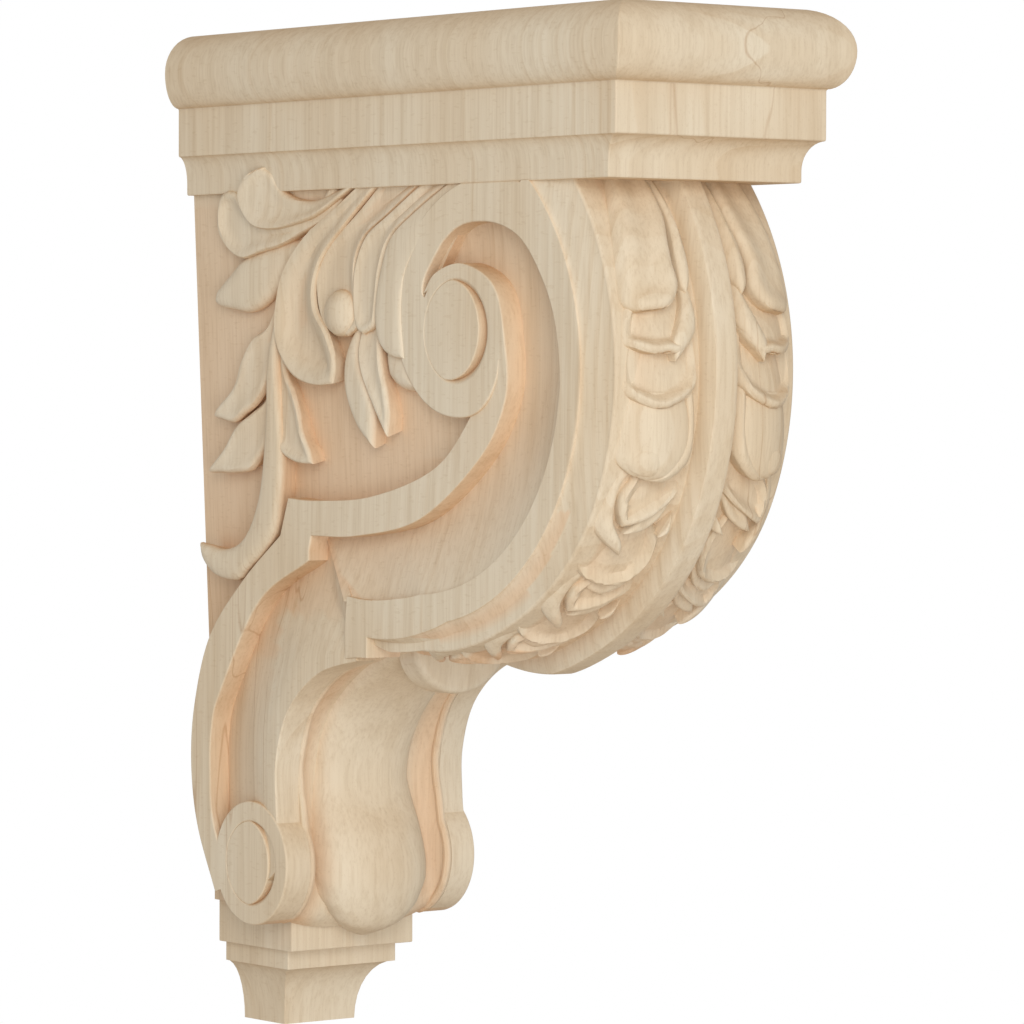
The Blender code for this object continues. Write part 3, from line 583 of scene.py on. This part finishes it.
rim_arc = polar(FOOT_EYE, np.linspace(-80, 34, 30), FOOT_EYE_RADIUS - 1.2)
rim_line = np.vstack([rim_arc, smooth_curve(RIM_ABOVE_FOOT)[:-3]])
rim = even(rim_line, COUNT)
side = side - [1.6, 0.0] * np.clip(np.linspace(-0.1, 3, COUNT), 0, 1)[:, None]
half = np.interp(middle[:, 1], [33.7, 34.6, 37, 42, 50, 58, 72, 85, 142],
                 [5, 10, 16, 21, 24, 24, 22, 19.7, 21.6])
t = np.linspace(-1, 1, 33)
arch = np.sqrt(np.clip(1 - np.abs(t) ** 2.4, 0, 1))
dome = side[:, None, :] + (middle - side)[:, None, :] * arch[None, :, None]
dome = np.concatenate([(half[:, None] * t[None, :])[..., None], -dome[..., :1], dome[..., 1:]], axis=2)
s = np.linspace(0, 1, 7)[1:]
cove_line = side[:, None, :] + (rim - side)[:, None, :] * (s[None, :, None] ** 3)
cove_x = half[:, None] + (LEG_INNER - 0.4 - half)[:, None] * s[None, :]
right_cove = np.stack([cove_x, -cove_line[..., 0], cove_line[..., 1]], axis=2)
left_cove = right_cove[:, ::-1] * [-1.0, 1.0, 1.0]
behind = side * [0.7, 1.0] + [-4.0, 5.0]
hidden = [np.stack([np.full(COUNT, x), -behind[:, 0], behind[:, 1]], axis=1)[:, None] for x in (30.0, -30.0)]
loft(np.concatenate([left_cove, dome, right_cove] + hidden, axis=1))


def bead(path, x, radius, around=10):
    """A round rod of one radius along a path, in the plane of a side."""
    a = np.linspace(0, 2 * np.pi, around, endpoint=False)
    out = left_of(path)
    section = path[:, None, :] + out[:, None, :] * (radius * np.cos(a))[None, :, None]
    places = np.broadcast_to(-x + radius * np.sin(a), section.shape[:2])
    both_sides(np.stack([places, -section[..., 0], section[..., 1]], axis=2))


BEAD_RADIUS = 1.5
bead(even(rim_line, 110), LEG_INNER - 1.2, BEAD_RADIUS)

TONGUE_HALF, TONGUE_DROP, TONGUE_THICK = 20.0, 17.0, 12.0
TONGUE_REACH, TONGUE_HEIGHT, TONGUE_ROOT, TONGUE_CURL = 109.5, 140.0, 150.0, 1.28
TONGUE_EDGE = [(2.8, 0.0), (1.3, 0.35), (0.4, 1.2), (0.0, 2.8), (0.0, TONGUE_THICK - 1.0), (1.0, TONGUE_THICK)]
a = np.linspace(np.pi, 2 * np.pi, 41)
rings = []
for inset, back in TONGUE_EDGE:
    half_width, reach = TONGUE_HALF - inset, back - TONGUE_REACH
    drop = TONGUE_HEIGHT + (TONGUE_DROP - inset) * np.sin(a)
    ring = np.stack([half_width * np.cos(a), reach + TONGUE_CURL * np.sin(a) ** 2, drop], axis=1)
    rings.append(np.vstack([ring, [(half_width, reach, TONGUE_ROOT), (-half_width, reach, TONGUE_ROOT)]]))
loft(np.stack(rings))
print("leg front and tongue:", len(shells), "shells so far")

# %% [markdown]
# A leaf lobe is one stroke of the carver's gouge: it starts thin, swells, and ends in a rounded tip. It
# could be sculpted, but a formula gives every lobe the same clean cut. It is set out as two edge curves from
# root to tip. The height depends on the distance to the outline: a quarter round at the edge, a lip inside
# it, and a bowl or a crown in the middle. The skirt goes down into the ground, straight, or drawn in where
# the carver has cut back under the lobe to give it a shadow.
# %% Leaf lobes
CHART_RADIUS = 105.0


def lobe(chart, near, far, crest, base, bowl=0.0, lip=2.0, wall=3.0, edge=1.4, sink=3.0, lift=0.0, tilt=0.0,
         along=32, around=14, undercut=0.0):
    """With d the distance to the outline in millimetres, the height is crest - edge rounding(d) - bowl times a
    smooth step of (d - lip) / wall. It sinks at the root and lifts at the tip by powers of the share along,
    and may tilt up towards the far edge. An undercut draws the skirt's foot in to the middle line, and back
    from the tip by eight millimetres times it."""
    s = np.sin(np.linspace(0, np.pi / 2, along)) ** 0.9
    shares = 0.997 * s
    near, far = at_shares(smooth_curve(near, 8), shares), at_shares(smooth_curve(far, 8), shares)
    t = 0.5 + 0.5 * np.sin(np.linspace(-np.pi / 2, np.pi / 2, around + 1))
    across = near[:, None, :] + (far - near)[:, None, :] * t[None, :, None]
    outline = np.concatenate([near, far[::-1]])
    apart = np.linalg.norm(across[:, :, None, :] - outline[None, None], axis=-1).min(axis=2)
    edge = min(edge, 0.9 * apart.max())
    close = np.clip(1 - apart / edge, 0, 1)
    inner = np.clip((apart - lip) / wall, 0, 1)
    height = -edge * (1 - np.sqrt(1 - close ** 2)) - bowl * inner ** 2 * (3 - 2 * inner)
    height = height + crest - sink * (1 - s[:, None]) ** 2 + lift * s[:, None] ** 3 + tilt * (2 * t[None, :] - 1)
    top = chart(across[..., 0], across[..., 1], height)
    middle, draw = across.mean(axis=1), max(8.0 * undercut, 1e-9)
    run = np.concatenate([[0.0], np.cumsum(np.linalg.norm(np.diff(middle, axis=0), axis=1))])
    behind = run - draw * np.clip((run - run[-1]) / (2 * draw) + 1, 0, 1)
    held = np.stack([np.interp(behind, run, middle[:, k]) for k in (0, 1)], axis=1)
    foot = held[:, None] + (across[:, [-1, 0]] - middle[:, None]) * (1 - undercut)
    skirt = chart(foot[..., 0], foot[..., 1], np.full((along, 2), float(base)))
    both_sides(np.concatenate([top, skirt], axis=1))


def side_chart(u, v, level):
    """Depth u and height v on the left side, at a half width."""
    return np.stack([-level, -u, v], axis=-1)


def front_chart(u, v, rise):
    """u runs down the roll from under the cap, as arc at CHART_RADIUS, and v out from the centre line. The leaf
    as a whole is domed: it dips beside the rib, is full in the middle and falls away to the rim strip."""
    v = np.maximum(v, RIB_HALF - 0.4)
    fall = np.clip((v - 18.0) / 18.0, 0, 1.2)
    beside = np.clip((v - RIB_HALF) / 5.0, 0, 1)
    shrink = 1 - 0.4 * np.clip((u - 130) / 110, 0, 1)
    dip = 4.0 * (1 - beside * beside * (3 - 2 * beside))
    return on_roll(ROLL_START - np.degrees(u / CHART_RADIUS), -v, shrink * (rise - dip - 8.0 * fall ** 2.6))


print("a lobe can lie on the side or on the roll, read at", CHART_RADIUS, "mm")

# %% [markdown]
# The spray of each side springs from under the cap and spreads over the sunk panel. One spoon laps over
# the cap's lip, one long bowl hangs in the middle with a rolled knob beside it, and a stem runs down the
# back to a curl. No two lobes are alike, so each is set out by itself: its two edges as (depth, height)
# points, how proud of the band it stands, its bowl, its edge and, for the spoon, a tilt.
# %% Side leaves
SPRAY = [
    ([(100, 302), (82, 296), (72, 295), (62, 297), (56, 301), (53, 305), (49, 307)],
     [(104, 301), (82, 290), (71, 287), (57, 285), (45, 286), (38, 291), (35, 298), (40, 304), (49, 307)],
     1.9, 0.8, 2.4, 1.8),
    ([(92, 297), (80, 290), (64, 287), (49, 289), (38, 293), (33, 298), (27, 299.5)],
     [(92, 290), (82, 287), (69, 283), (57, 279), (45, 277), (35, 275), (27, 278), (21, 284), (20, 290), (22, 297),
      (27, 299.5)], 1.6, 1.8, 2.4),
    ([(66, 282), (57, 281), (45, 278), (34, 275), (27, 270), (18, 264)],
     [(64, 272), (59, 270), (54, 264), (45, 258), (37, 256), (28, 257), (21, 258), (17, 260), (18, 264)],
     0.2, -0.6, 2.6),
    ([(52, 262), (47, 252), (38, 247), (32, 239), (28, 230), (17, 222)],
     [(54, 250), (50, 240), (47, 231), (41, 224), (34, 220), (28, 217), (20, 218), (16, 219), (17, 222)],
     -0.2, 0.8, 2.4),
    ([(50, 236), (46, 226), (38, 221), (29, 216), (22, 208), (13, 201)],
     [(51, 222), (48, 213), (45, 207), (41, 203), (37, 200), (28, 199), (19, 199), (13, 199), (13, 201)],
     -0.2, 0.8, 2.4),
    ([(84, 301), (68, 280), (58, 264), (52, 250), (49, 236), (49, 222), (48, 208), (46, 194), (41, 182), (34, 175),
      (24, 172), (15, 173), (8, 174)],
     [(92, 301), (74, 280), (62, 262), (56, 248), (55, 236), (57, 222), (59, 205), (58, 191), (55, 179), (47, 171),
      (38, 165), (32, 161), (19, 162), (11, 167), (8, 174)], 0.9, -0.5, 2.6),
    ([(52, 250), (50, 238), (49, 228), (51, 216), (58, 207), (67, 203.5), (77, 203)],
     [(56, 250), (59, 236), (64, 229), (68, 222), (71, 214), (75, 208), (77, 203)], 0.3, 1.4, 1.6),
    ([(106, 302), (87, 291), (71, 282), (59, 270), (55, 258), (55, 247), (60, 239), (68, 233), (79, 230.5), (90, 231)],
     [(116, 302), (97, 287), (84, 276), (79, 266), (80, 257), (86, 250), (90, 243), (91.5, 237), (90, 231)],
     1.3, 3.8, 1.6),
    ([(116, 302), (98, 288), (83, 278), (78.5, 269), (79, 260), (82, 253), (88, 248.5), (97, 247.5)],
     [(141, 302), (119, 289), (107, 282), (102, 274), (102, 265), (104, 258), (103, 251), (97, 247.5)], 0.0, 1.6, 2.0),
    ([(141, 302), (119, 289), (107, 282), (101, 272), (100, 262), (102, 251), (106, 248)],
     [(158, 302), (134, 289), (122, 281), (117, 271), (115, 259), (113, 251), (106, 248)], 0.4, 1.4, 2.4),
    ([(158, 302), (134, 289), (122, 281), (117, 271), (114, 256), (116, 246), (122, 241), (131, 239.5)],
     [(176, 302), (151, 289), (140, 280), (132, 270), (129.5, 260), (129.5, 251), (131, 239.5)], 0.9, -0.3, 1.8),
    ([(117, 248), (115.5, 243), (117, 237), (120, 232.5), (128, 229), (140, 228.5)],
     [(131, 246), (131.5, 240), (133, 236), (136, 232), (140, 228.5)], 0.0, 0.0, 4.5),
    ([(100, 252), (96, 246), (93.5, 239), (94, 231), (97, 224), (103, 216), (112, 209)],
     [(104, 252), (102, 243), (104, 236), (108, 230), (112, 222), (112, 209)], 0.4, 0.0, 2.8),
    ([(104, 252), (102, 243), (104, 236), (108, 230), (114, 222), (121, 213)],
     [(114, 252), (115, 244), (117, 236), (120, 229), (122, 221), (121, 213)], 0.9, 0.9, 1.8),
]
UNDERCUT, SKIRT_FOOT = 0.45, CHANNEL_FLOOR - 3
for near, far, proud, bowl, edge, *tilt in SPRAY:
    lobe(side_chart, near, far, BAND + proud, SKIRT_FOOT, bowl=bowl, edge=edge, lip=1.0,
         wall=3.8 + 2.5 * max(bowl - 1.4, 0), tilt=sum(tilt), along=44, around=14, undercut=UNDERCUT)

KNOB_PLACE, KNOB_RADIUS, KNOB_FOOT, KNOB_RISE = np.array([93.0, 255.5]), 8.2, BAND - 1.6, 5.0
turns, rounds = np.linspace(0, 360, 33)[:-1], np.linspace(0, np.pi / 2, 7)
knob = [on_side(polar(KNOB_PLACE, turns, KNOB_RADIUS * np.cos(r) + HAIR), KNOB_FOOT + KNOB_RISE * np.sin(r))
        for r in rounds]
both_sides(np.stack([on_side(polar(KNOB_PLACE, turns, KNOB_RADIUS + HAIR), CHANNEL_FLOOR)] + knob))
print("side leaves:", len(shells), "shells so far")

# %% [markdown]
# The front carries a long acanthus leaf on each side of the rib. The upper four lobes are broad cups that
# overlap like tiles, with slim leaflets beside the rib; the last of them curls over to a point. Below them
# one group of lobes comes again and again, smaller each time: a flag at the rim, a cup behind it, a blade
# and two slips beside the rib, and a hook that closes the group. The lobes are drawn flat and then laid on
# the roll by its chart, as a carver draws on paper and wraps it round the work. The lowest are laid first.
# %% Front leaves
LEAF_FOOT = -4.0
UPPER_LOBES = [
    ([(84, 32), (90, 35), (98, 36.5), (106, 36.5), (111, 32), (113, 26)],
     [(84, 12), (92, 10), (98, 9), (103, 9.7), (108, 13), (112, 19), (113, 26)], 9.2, -0.5, 3.2),
    ([(62, 33), (70, 36), (77, 37), (83, 36.5), (87, 32), (89, 27), (89, 22)],
     [(62, 8), (70, 7), (76, 7), (82, 10), (86, 15), (89, 22)], 9.0, 3.4, 3.0),
    ([(46, 31), (54, 34), (61, 36.5), (67, 36.5), (70, 32), (71.5, 27), (71, 22)],
     [(46, 8), (56, 8), (64, 10), (69, 14), (71.5, 18), (71, 22)], 9.2, 3.2, 2.6),
    ([(4, 27), (20, 31), (36, 34), (48, 35.5), (54, 35), (57.5, 31.5), (57.5, 27)],
     [(4, 13), (24, 13), (34, 15), (42, 16), (49, 15.5), (54, 18), (57, 22), (57.5, 27)], 9.6, 1.6, 3.0, 7.0),
]
UPPER_SLIPS = [
    ([(4, 5), (26, 6.5), (38, 7), (46, 9), (52, 12)],
     [(4, 13), (24, 12.5), (36, 14), (44, 14.5), (49, 14), (52, 12)], 9.6),
    ([(44, 9), (52, 8), (60, 8.5), (67, 12.5), (74, 19)], [(44, 13), (53, 13.5), (61, 16.5), (68, 20), (74, 19)], 9.8),
    ([(77, 10), (86, 8), (94, 7.5), (102, 8.5), (108, 12), (113, 19), (113, 26)],
     [(77, 14), (86, 13), (94, 12), (101, 13.5), (106, 17), (110, 22), (113, 26)], 9.9),
    ([(98, 19), (102, 18), (107, 20), (111, 24), (111, 30), (108, 34)],
     [(98, 22), (101, 25), (103, 30), (108, 34)], 10.7),
]
GROUP = [
    ([(46, 27), (50, 30), (54, 29.5), (57, 22)], [(30, 8), (36, 8), (44, 11), (52, 15), (57, 22)], 6.6, 1.0, 1.4),
    ([(16, 33), (26, 36), (34, 38), (42, 38), (48, 35), (51, 29), (51, 20)],
     [(16, 22), (23, 16), (30, 11), (37, 10), (43, 12), (48, 15), (51, 20)], 8.4, 3.4, 2.8),
    ([(12, 5), (18, 7), (23, 10), (29, 14)], [(12, 4), (20, 4), (26, 6), (29, 14)], 8.4, -0.4, 1.2),
    ([(10, 17), (16, 18), (21, 22), (29, 27)],
     [(4, 7), (10, 7), (17, 11), (23, 15), (27, 21), (29, 27)], 7.4, 0.8, 1.4),
    ([(2, 26), (9, 28), (15, 31), (21, 31), (26, 29)],
     [(-2, 9), (4, 8), (10, 7), (15, 11), (20, 18), (26, 29)], 8.4, 2.8, 1.4),
    ([(1, 33), (6, 36), (12, 38), (19, 38), (26, 38), (32, 34), (37, 26)],
     [(1, 27), (7, 28), (12, 31), (20, 32), (26, 31), (32, 27), (37, 26)], 9.4, -0.6, 2.4),
]
GROUP_PLACES = [(221, 0.82), (184, 0.92), (145, 1.0), (104, 1.0)]
for start, scale in GROUP_PLACES:
    for near, far, crest, bowl, edge in GROUP:
        near, far = (np.array(line, dtype=float) * [scale, 1.0] + [start, 0.0] for line in (near, far))
        lobe(front_chart, near, far, crest, LEAF_FOOT, bowl=bowl, lip=1.6, wall=2.2, edge=edge, sink=7.0,
             along=26, around=12)
for near, far, crest, bowl, edge, *wall in UPPER_LOBES:
    lobe(front_chart, near, far, crest, LEAF_FOOT, bowl=bowl, lip=2.0, wall=max([3.2] + wall), edge=edge, sink=4.0,
         lift=0.6, along=44, around=22)
for near, far, crest in UPPER_SLIPS:
    lobe(front_chart, near, far, crest, LEAF_FOOT, bowl=-0.6, lip=0.5, wall=1.9, edge=1.2, sink=6.0, lift=-2.0,
         along=28, around=10)
print("front leaves:", len(shells), "shells in all")

# %% [markdown]
# The corbel is cut from one blank, so all shells become one mesh, in metres, with its middle height at the
# origin. Smooth shading with sharp edges where faces meet at more than 34 degrees keeps the arrises crisp.
# Weighted normals let the large flats decide the shading, so that they stay flat up to their eased edges.
# %% One piece of wood
MILLIMETRE, SHARP_ANGLE = 0.001, np.radians(34)
starts = np.cumsum([0] + [len(points) for points, quads, ends in shells])
places = np.vstack([points for points, quads, ends in shells]) * MILLIMETRE
places[:, 2] -= CORBEL_HEIGHT / 2 * MILLIMETRE
faces = []
for start, (points, quads, ends) in zip(starts, shells):
    faces += (quads + start).tolist() + [(end + start).tolist() for end in ends]
carving_mesh = bpy.data.meshes.new("carved_corbel")
carving_mesh.from_pydata(places.tolist(), [], faces)
carving_mesh.shade_smooth()
carving_mesh.set_sharp_from_angle(angle=SHARP_ANGLE)
carving = linked(bpy.data.objects.new("carved_corbel", carving_mesh))
flats = carving.modifiers.new("flats_stay_flat", "WEIGHTED_NORMAL")
flats.keep_sharp = True
flats.weight = 60
print("piece:", len(places), "points,", sum(len(f) - 2 for f in faces), "triangles")

# %% [markdown]
# Fresh maple isn't one colour: where the grain ends in the surface it is darker. The recesses of the carving also get
# painted shade, a warm darkening in the channels, on the walls inside the carved sides, on the leaf bed and in the
# leg's coves, which stands in for the shade and warm bounced light that fall there. Both depend on the shape, so they
# are worked out here for every corner of the mesh and kept as attributes, which the material reads. They could be
# painted by hand as well, but then they would have to be painted again after each change of shape.
# %% Painted shade in the hollows, and end grain
def vectors_of(layer, field):
    """The x, y and z of every corner or point, as an array."""
    flat = np.empty(len(layer) * 3, dtype=np.float32)
    layer.foreach_get(field, flat)
    return flat.reshape(-1, 3)


owner = np.empty(len(carving_mesh.loops), dtype=np.int32)
carving_mesh.loops.foreach_get("vertex_index", owner)
facing = np.abs(vectors_of(carving_mesh.corner_normals, "vector"))
x, y, z = (vectors_of(carving_mesh.vertices, "co")[owner] / MILLIMETRE).T
side, depth, height = np.abs(x), -y, z + CORBEL_HEIGHT / 2
away = np.hypot(depth - ROLL_CENTRE[0], height - ROLL_CENTRE[1])
below = BAND - side
low_on_roll = (height < 190.0) & (height > 140.0)
inside_band = (away < BAND_OUTER + 0.5) | (away < BAND_OUTER + 5.0) & low_on_roll
behind_roll = (depth < 50.0) | (height > 150.0) & (depth < 110.0)
carved_side = (side > CORE - 2) & (height < CAP_UNDERSIDE) & (inside_band | behind_roll)
panel = (below > 2.8) & ((depth < 150.0) & (height > 188.0) | (depth < 60.0) & (height > 134.0))
# Painted shade: walls inside the carved sides that don't face sideways are darkened, as shade falls on them.
shaded_walls = (1 - facing[:, 0]) * np.clip(below, 0, 1)
side_painted_shade = carved_side * (np.clip(below / 7.0, 0, 1) * 0.45 + 0.3 * panel + 0.5 * shaded_walls)
near_bed = np.clip((RIM_RADIUS + 4.5 - away) / 5.0, 0, 1)
bed_painted_shade = 0.4 * near_bed * ((away > 90.0) & (side < 31.0) & (height > 130.0))
beside_cushion = np.clip((31.5 - side) / 2.0, 0, 1) * np.clip((side - 19.0) / 6.0, 0, 1)
leg_painted_shade = 0.7 * beside_cushion * ((height < 142.0) & (depth > 45.0))
low_painted_shade = 0.5 * np.clip(below / 2.0, 0, 1) * (inside_band & (away > BAND_OUTER) & (height < 190.0))
# The sum is painted shade: a warm darkening where the recesses are shaded.
painted_hollow_shade = np.clip(side_painted_shade + bed_painted_shade + low_painted_shade + leg_painted_shade, 0, 1)
# The attribute "hollow" holds this painted shade of the recesses; "end_grain" holds the darker end grain.
for name, values in (("hollow", painted_hollow_shade), ("end_grain", facing[:, 2] ** 3)):
    layer = carving_mesh.attributes.new(name, "FLOAT", "CORNER")
    layer.data.foreach_set("value", values.astype(np.float32))
    print(name, "mean", round(float(values.mean()), 3))

# %% [markdown]
# The maple's figure is solid, not painted on: growth rings are cylinders round a pith that stands behind the
# blank and leans a little, so they come out as upright lines on the sides and as wide arches on the front.
# To write such formulas as sums and products, one small class wraps a node's socket.
# %% Node arithmetic
maple = bpy.data.materials.new("bare_maple")
maple.use_nodes = True


class Grain:
    """One socket of the maple's nodes. Arithmetic with other sockets or numbers adds Math nodes."""

    def __init__(self, socket):
        self.socket = socket

    @staticmethod
    def make(kind, settings, sockets, out=0):
        """Adds a node, makes its settings, then gives its sockets values or links, and returns one output."""
        node = maple.node_tree.nodes.new("ShaderNode" + kind)
        for name, value in settings.items():
            setattr(node, name, value)
        for name, value in sockets.items():
            if isinstance(value, Grain):
                maple.node_tree.links.new(value.socket, node.inputs[name])
            else:
                node.inputs[name].default_value = value
        return Grain(node.outputs[out])

    def math(self, operation, *others):
        """A Math node that takes this socket first and then the others."""
        return Grain.make("Math", {"operation": operation}, dict(enumerate((self, *others))))

    def __add__(self, other):
        return self.math("ADD", other)

    def __sub__(self, other):
        return self.math("SUBTRACT", other)

    def __mul__(self, other):
        return self.math("MULTIPLY", other)

    def __truediv__(self, other):
        return self.math("DIVIDE", other)

    def __pow__(self, other):
        return self.math("POWER", other)

    def __rsub__(self, other):
        return Grain.make("Math", {"operation": "SUBTRACT"}, {0: other, 1: self})

    __radd__, __rmul__ = __add__, __mul__

    def between(self, low, high):
        """0 below low, 1 above high, and a smooth step from one to the other."""
        return Grain.make("MapRange", {"interpolation_type": "SMOOTHSTEP"},
                          {"Value": self, "From Min": low, "From Max": high})


print("node arithmetic ready")

# %% [markdown]
# Everything below is a field in space, read at the object's own coordinates, so the figure runs through the
# wood and meets itself at every corner. A picture of wood wrapped round the piece would not. Stretching the
# coordinates far more across the grain than along it turns round noise into fibres.
# %% Figure of the wood
spot = Grain.make("TexCoord", {}, {}, "Object")
across_grain, into_wall, up = (Grain.make("SeparateXYZ", {}, {0: spot}, k) for k in range(3))


def cloud(x_scale, y_scale, z_scale, detail=2.0, roughness=0.5):
    """Noise about 0.5, with so many cells to the metre along each axis."""
    stretched = Grain.make("VectorMath", {"operation": "MULTIPLY"}, {0: spot, 1: (x_scale, y_scale, z_scale)})
    return Grain.make("TexNoise", {}, {"Vector": stretched, "Scale": 1.0, "Detail": detail, "Roughness": roughness})


RING_WIDTH = 0.0046
PITH_ACROSS, PITH_DEPTH, LEAN_ACROSS, LEAN_DEPTH = 0.085, 0.10, 0.05, 0.06
wander = (cloud(11, 11, 3.0) - 0.5) * 0.022 + (cloud(70, 70, 12) - 0.5) * 0.0016
pith_across = across_grain - PITH_ACROSS - up * LEAN_ACROSS
pith_depth = into_wall - PITH_DEPTH + up * LEAN_DEPTH
rings = ((pith_across ** 2 + pith_depth ** 2) ** 0.5 + wander) / RING_WIDTH
year = rings.math("FRACT")
vigour = Grain.make("TexWhiteNoise", {"noise_dimensions": "1D"}, {"W": rings.math("FLOOR")})
late_wood = year.between(0.35, 0.93) * (1 - year.between(0.95, 1.0))
ring_line = late_wood * (0.25 + 0.75 * vigour ** 2) * cloud(25, 25, 6).between(0.3, 0.7)
fibre = cloud(900, 900, 26, 4.0, 0.62)
band_streak = cloud(190, 190, 5, 3.0)
patch = cloud(16, 16, 9)
fleck = cloud(1900, 240, 900, 1.0).between(0.62, 0.72)
mineral = (1 - (cloud(30, 30, 3.4, 3.0) - 0.5).math("ABSOLUTE").between(0.0, 0.007)) * cloud(9, 9, 7).between(0.52, 0.6)
# hollow: the painted shade of the recesses, read from the mesh.
hollow = Grain.make("Attribute", {"attribute_name": "hollow"}, {}, "Fac")
end_grain = Grain.make("Attribute", {"attribute_name": "end_grain"}, {}, "Fac")
print("ring width", RING_WIDTH * 1000, "mm")

# %% [markdown]
# The colour is laid on like glazes, each multiplied into the one below by its own mask: soft patches, the late
# wood of each ring, fibres, a few brown mineral lines, a painted warm shade in the hollows and the darker end grain.
# The same masks roughen the surface and raise it by about a tenth of a millimetre at most.
# %% Maple
def glaze(colour, tint, mask):
    """Multiplies a colour by a tint where the mask is one, and leaves it where the mask is nought."""
    return Grain.make("Mix", {"data_type": "RGBA", "blend_type": "MULTIPLY"},
                      {"Factor": mask, "A": colour, "B": (*tint, 1.0)}, "Result")


FRESH_MAPLE = (0.785, 0.675, 0.51, 1.0)
GLAZES = [("soft patches", (0.93, 0.87, 0.80), patch.between(0.3, 0.7)),
          ("late wood", (0.91, 0.855, 0.79), ring_line * 0.85),
          ("broad streaks", (0.88, 0.84, 0.79), band_streak.between(0.42, 0.68) * 0.45),
          ("fibres", (0.84, 0.79, 0.73), fibre.between(0.42, 0.7) * 0.5),
          ("flecks", (0.92, 0.89, 0.85), fleck * 0.6),
          ("mineral lines", (0.70, 0.56, 0.45), mineral * 0.55),
          # Painted shade: this glaze darkens and warms the recesses, where shade falls.
          ("shade painted in hollows", (1.0, 0.83, 0.715), hollow),
          ("end grain", (0.93, 0.82, 0.70), end_grain)]
colour = FRESH_MAPLE
for name, tint, mask in GLAZES:
    colour = glaze(colour, tint, mask)
relief = fibre * 0.5 + ring_line * 0.35 + fleck * 0.15 + cloud(260, 260, 120) * 0.5
maple_nodes = maple.node_tree.nodes
surface = maple_nodes["Principled BSDF"].inputs
BUMP_STRENGTH, BUMP_HEIGHT, SPECULAR_LEVEL = 0.35, 0.00025, 0.3
bump = Grain.make("Bump", {}, {"Strength": BUMP_STRENGTH, "Distance": BUMP_HEIGHT, "Height": relief}, "Normal")
rough = 0.56 + fibre * 0.10 + end_grain * 0.12 + hollow * 0.06
for name, value in (("Base Color", colour), ("Roughness", rough), ("Normal", bump)):
    maple.node_tree.links.new(value.socket, surface[name])
surface["Specular IOR Level"].default_value = SPECULAR_LEVEL
carving_mesh.materials.append(maple)
print("maple:", len(GLAZES), "glazes,", len(maple_nodes), "nodes")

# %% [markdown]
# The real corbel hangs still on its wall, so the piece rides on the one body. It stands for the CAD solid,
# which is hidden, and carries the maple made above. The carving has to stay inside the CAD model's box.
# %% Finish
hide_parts("corbel")
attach(carving, "root")
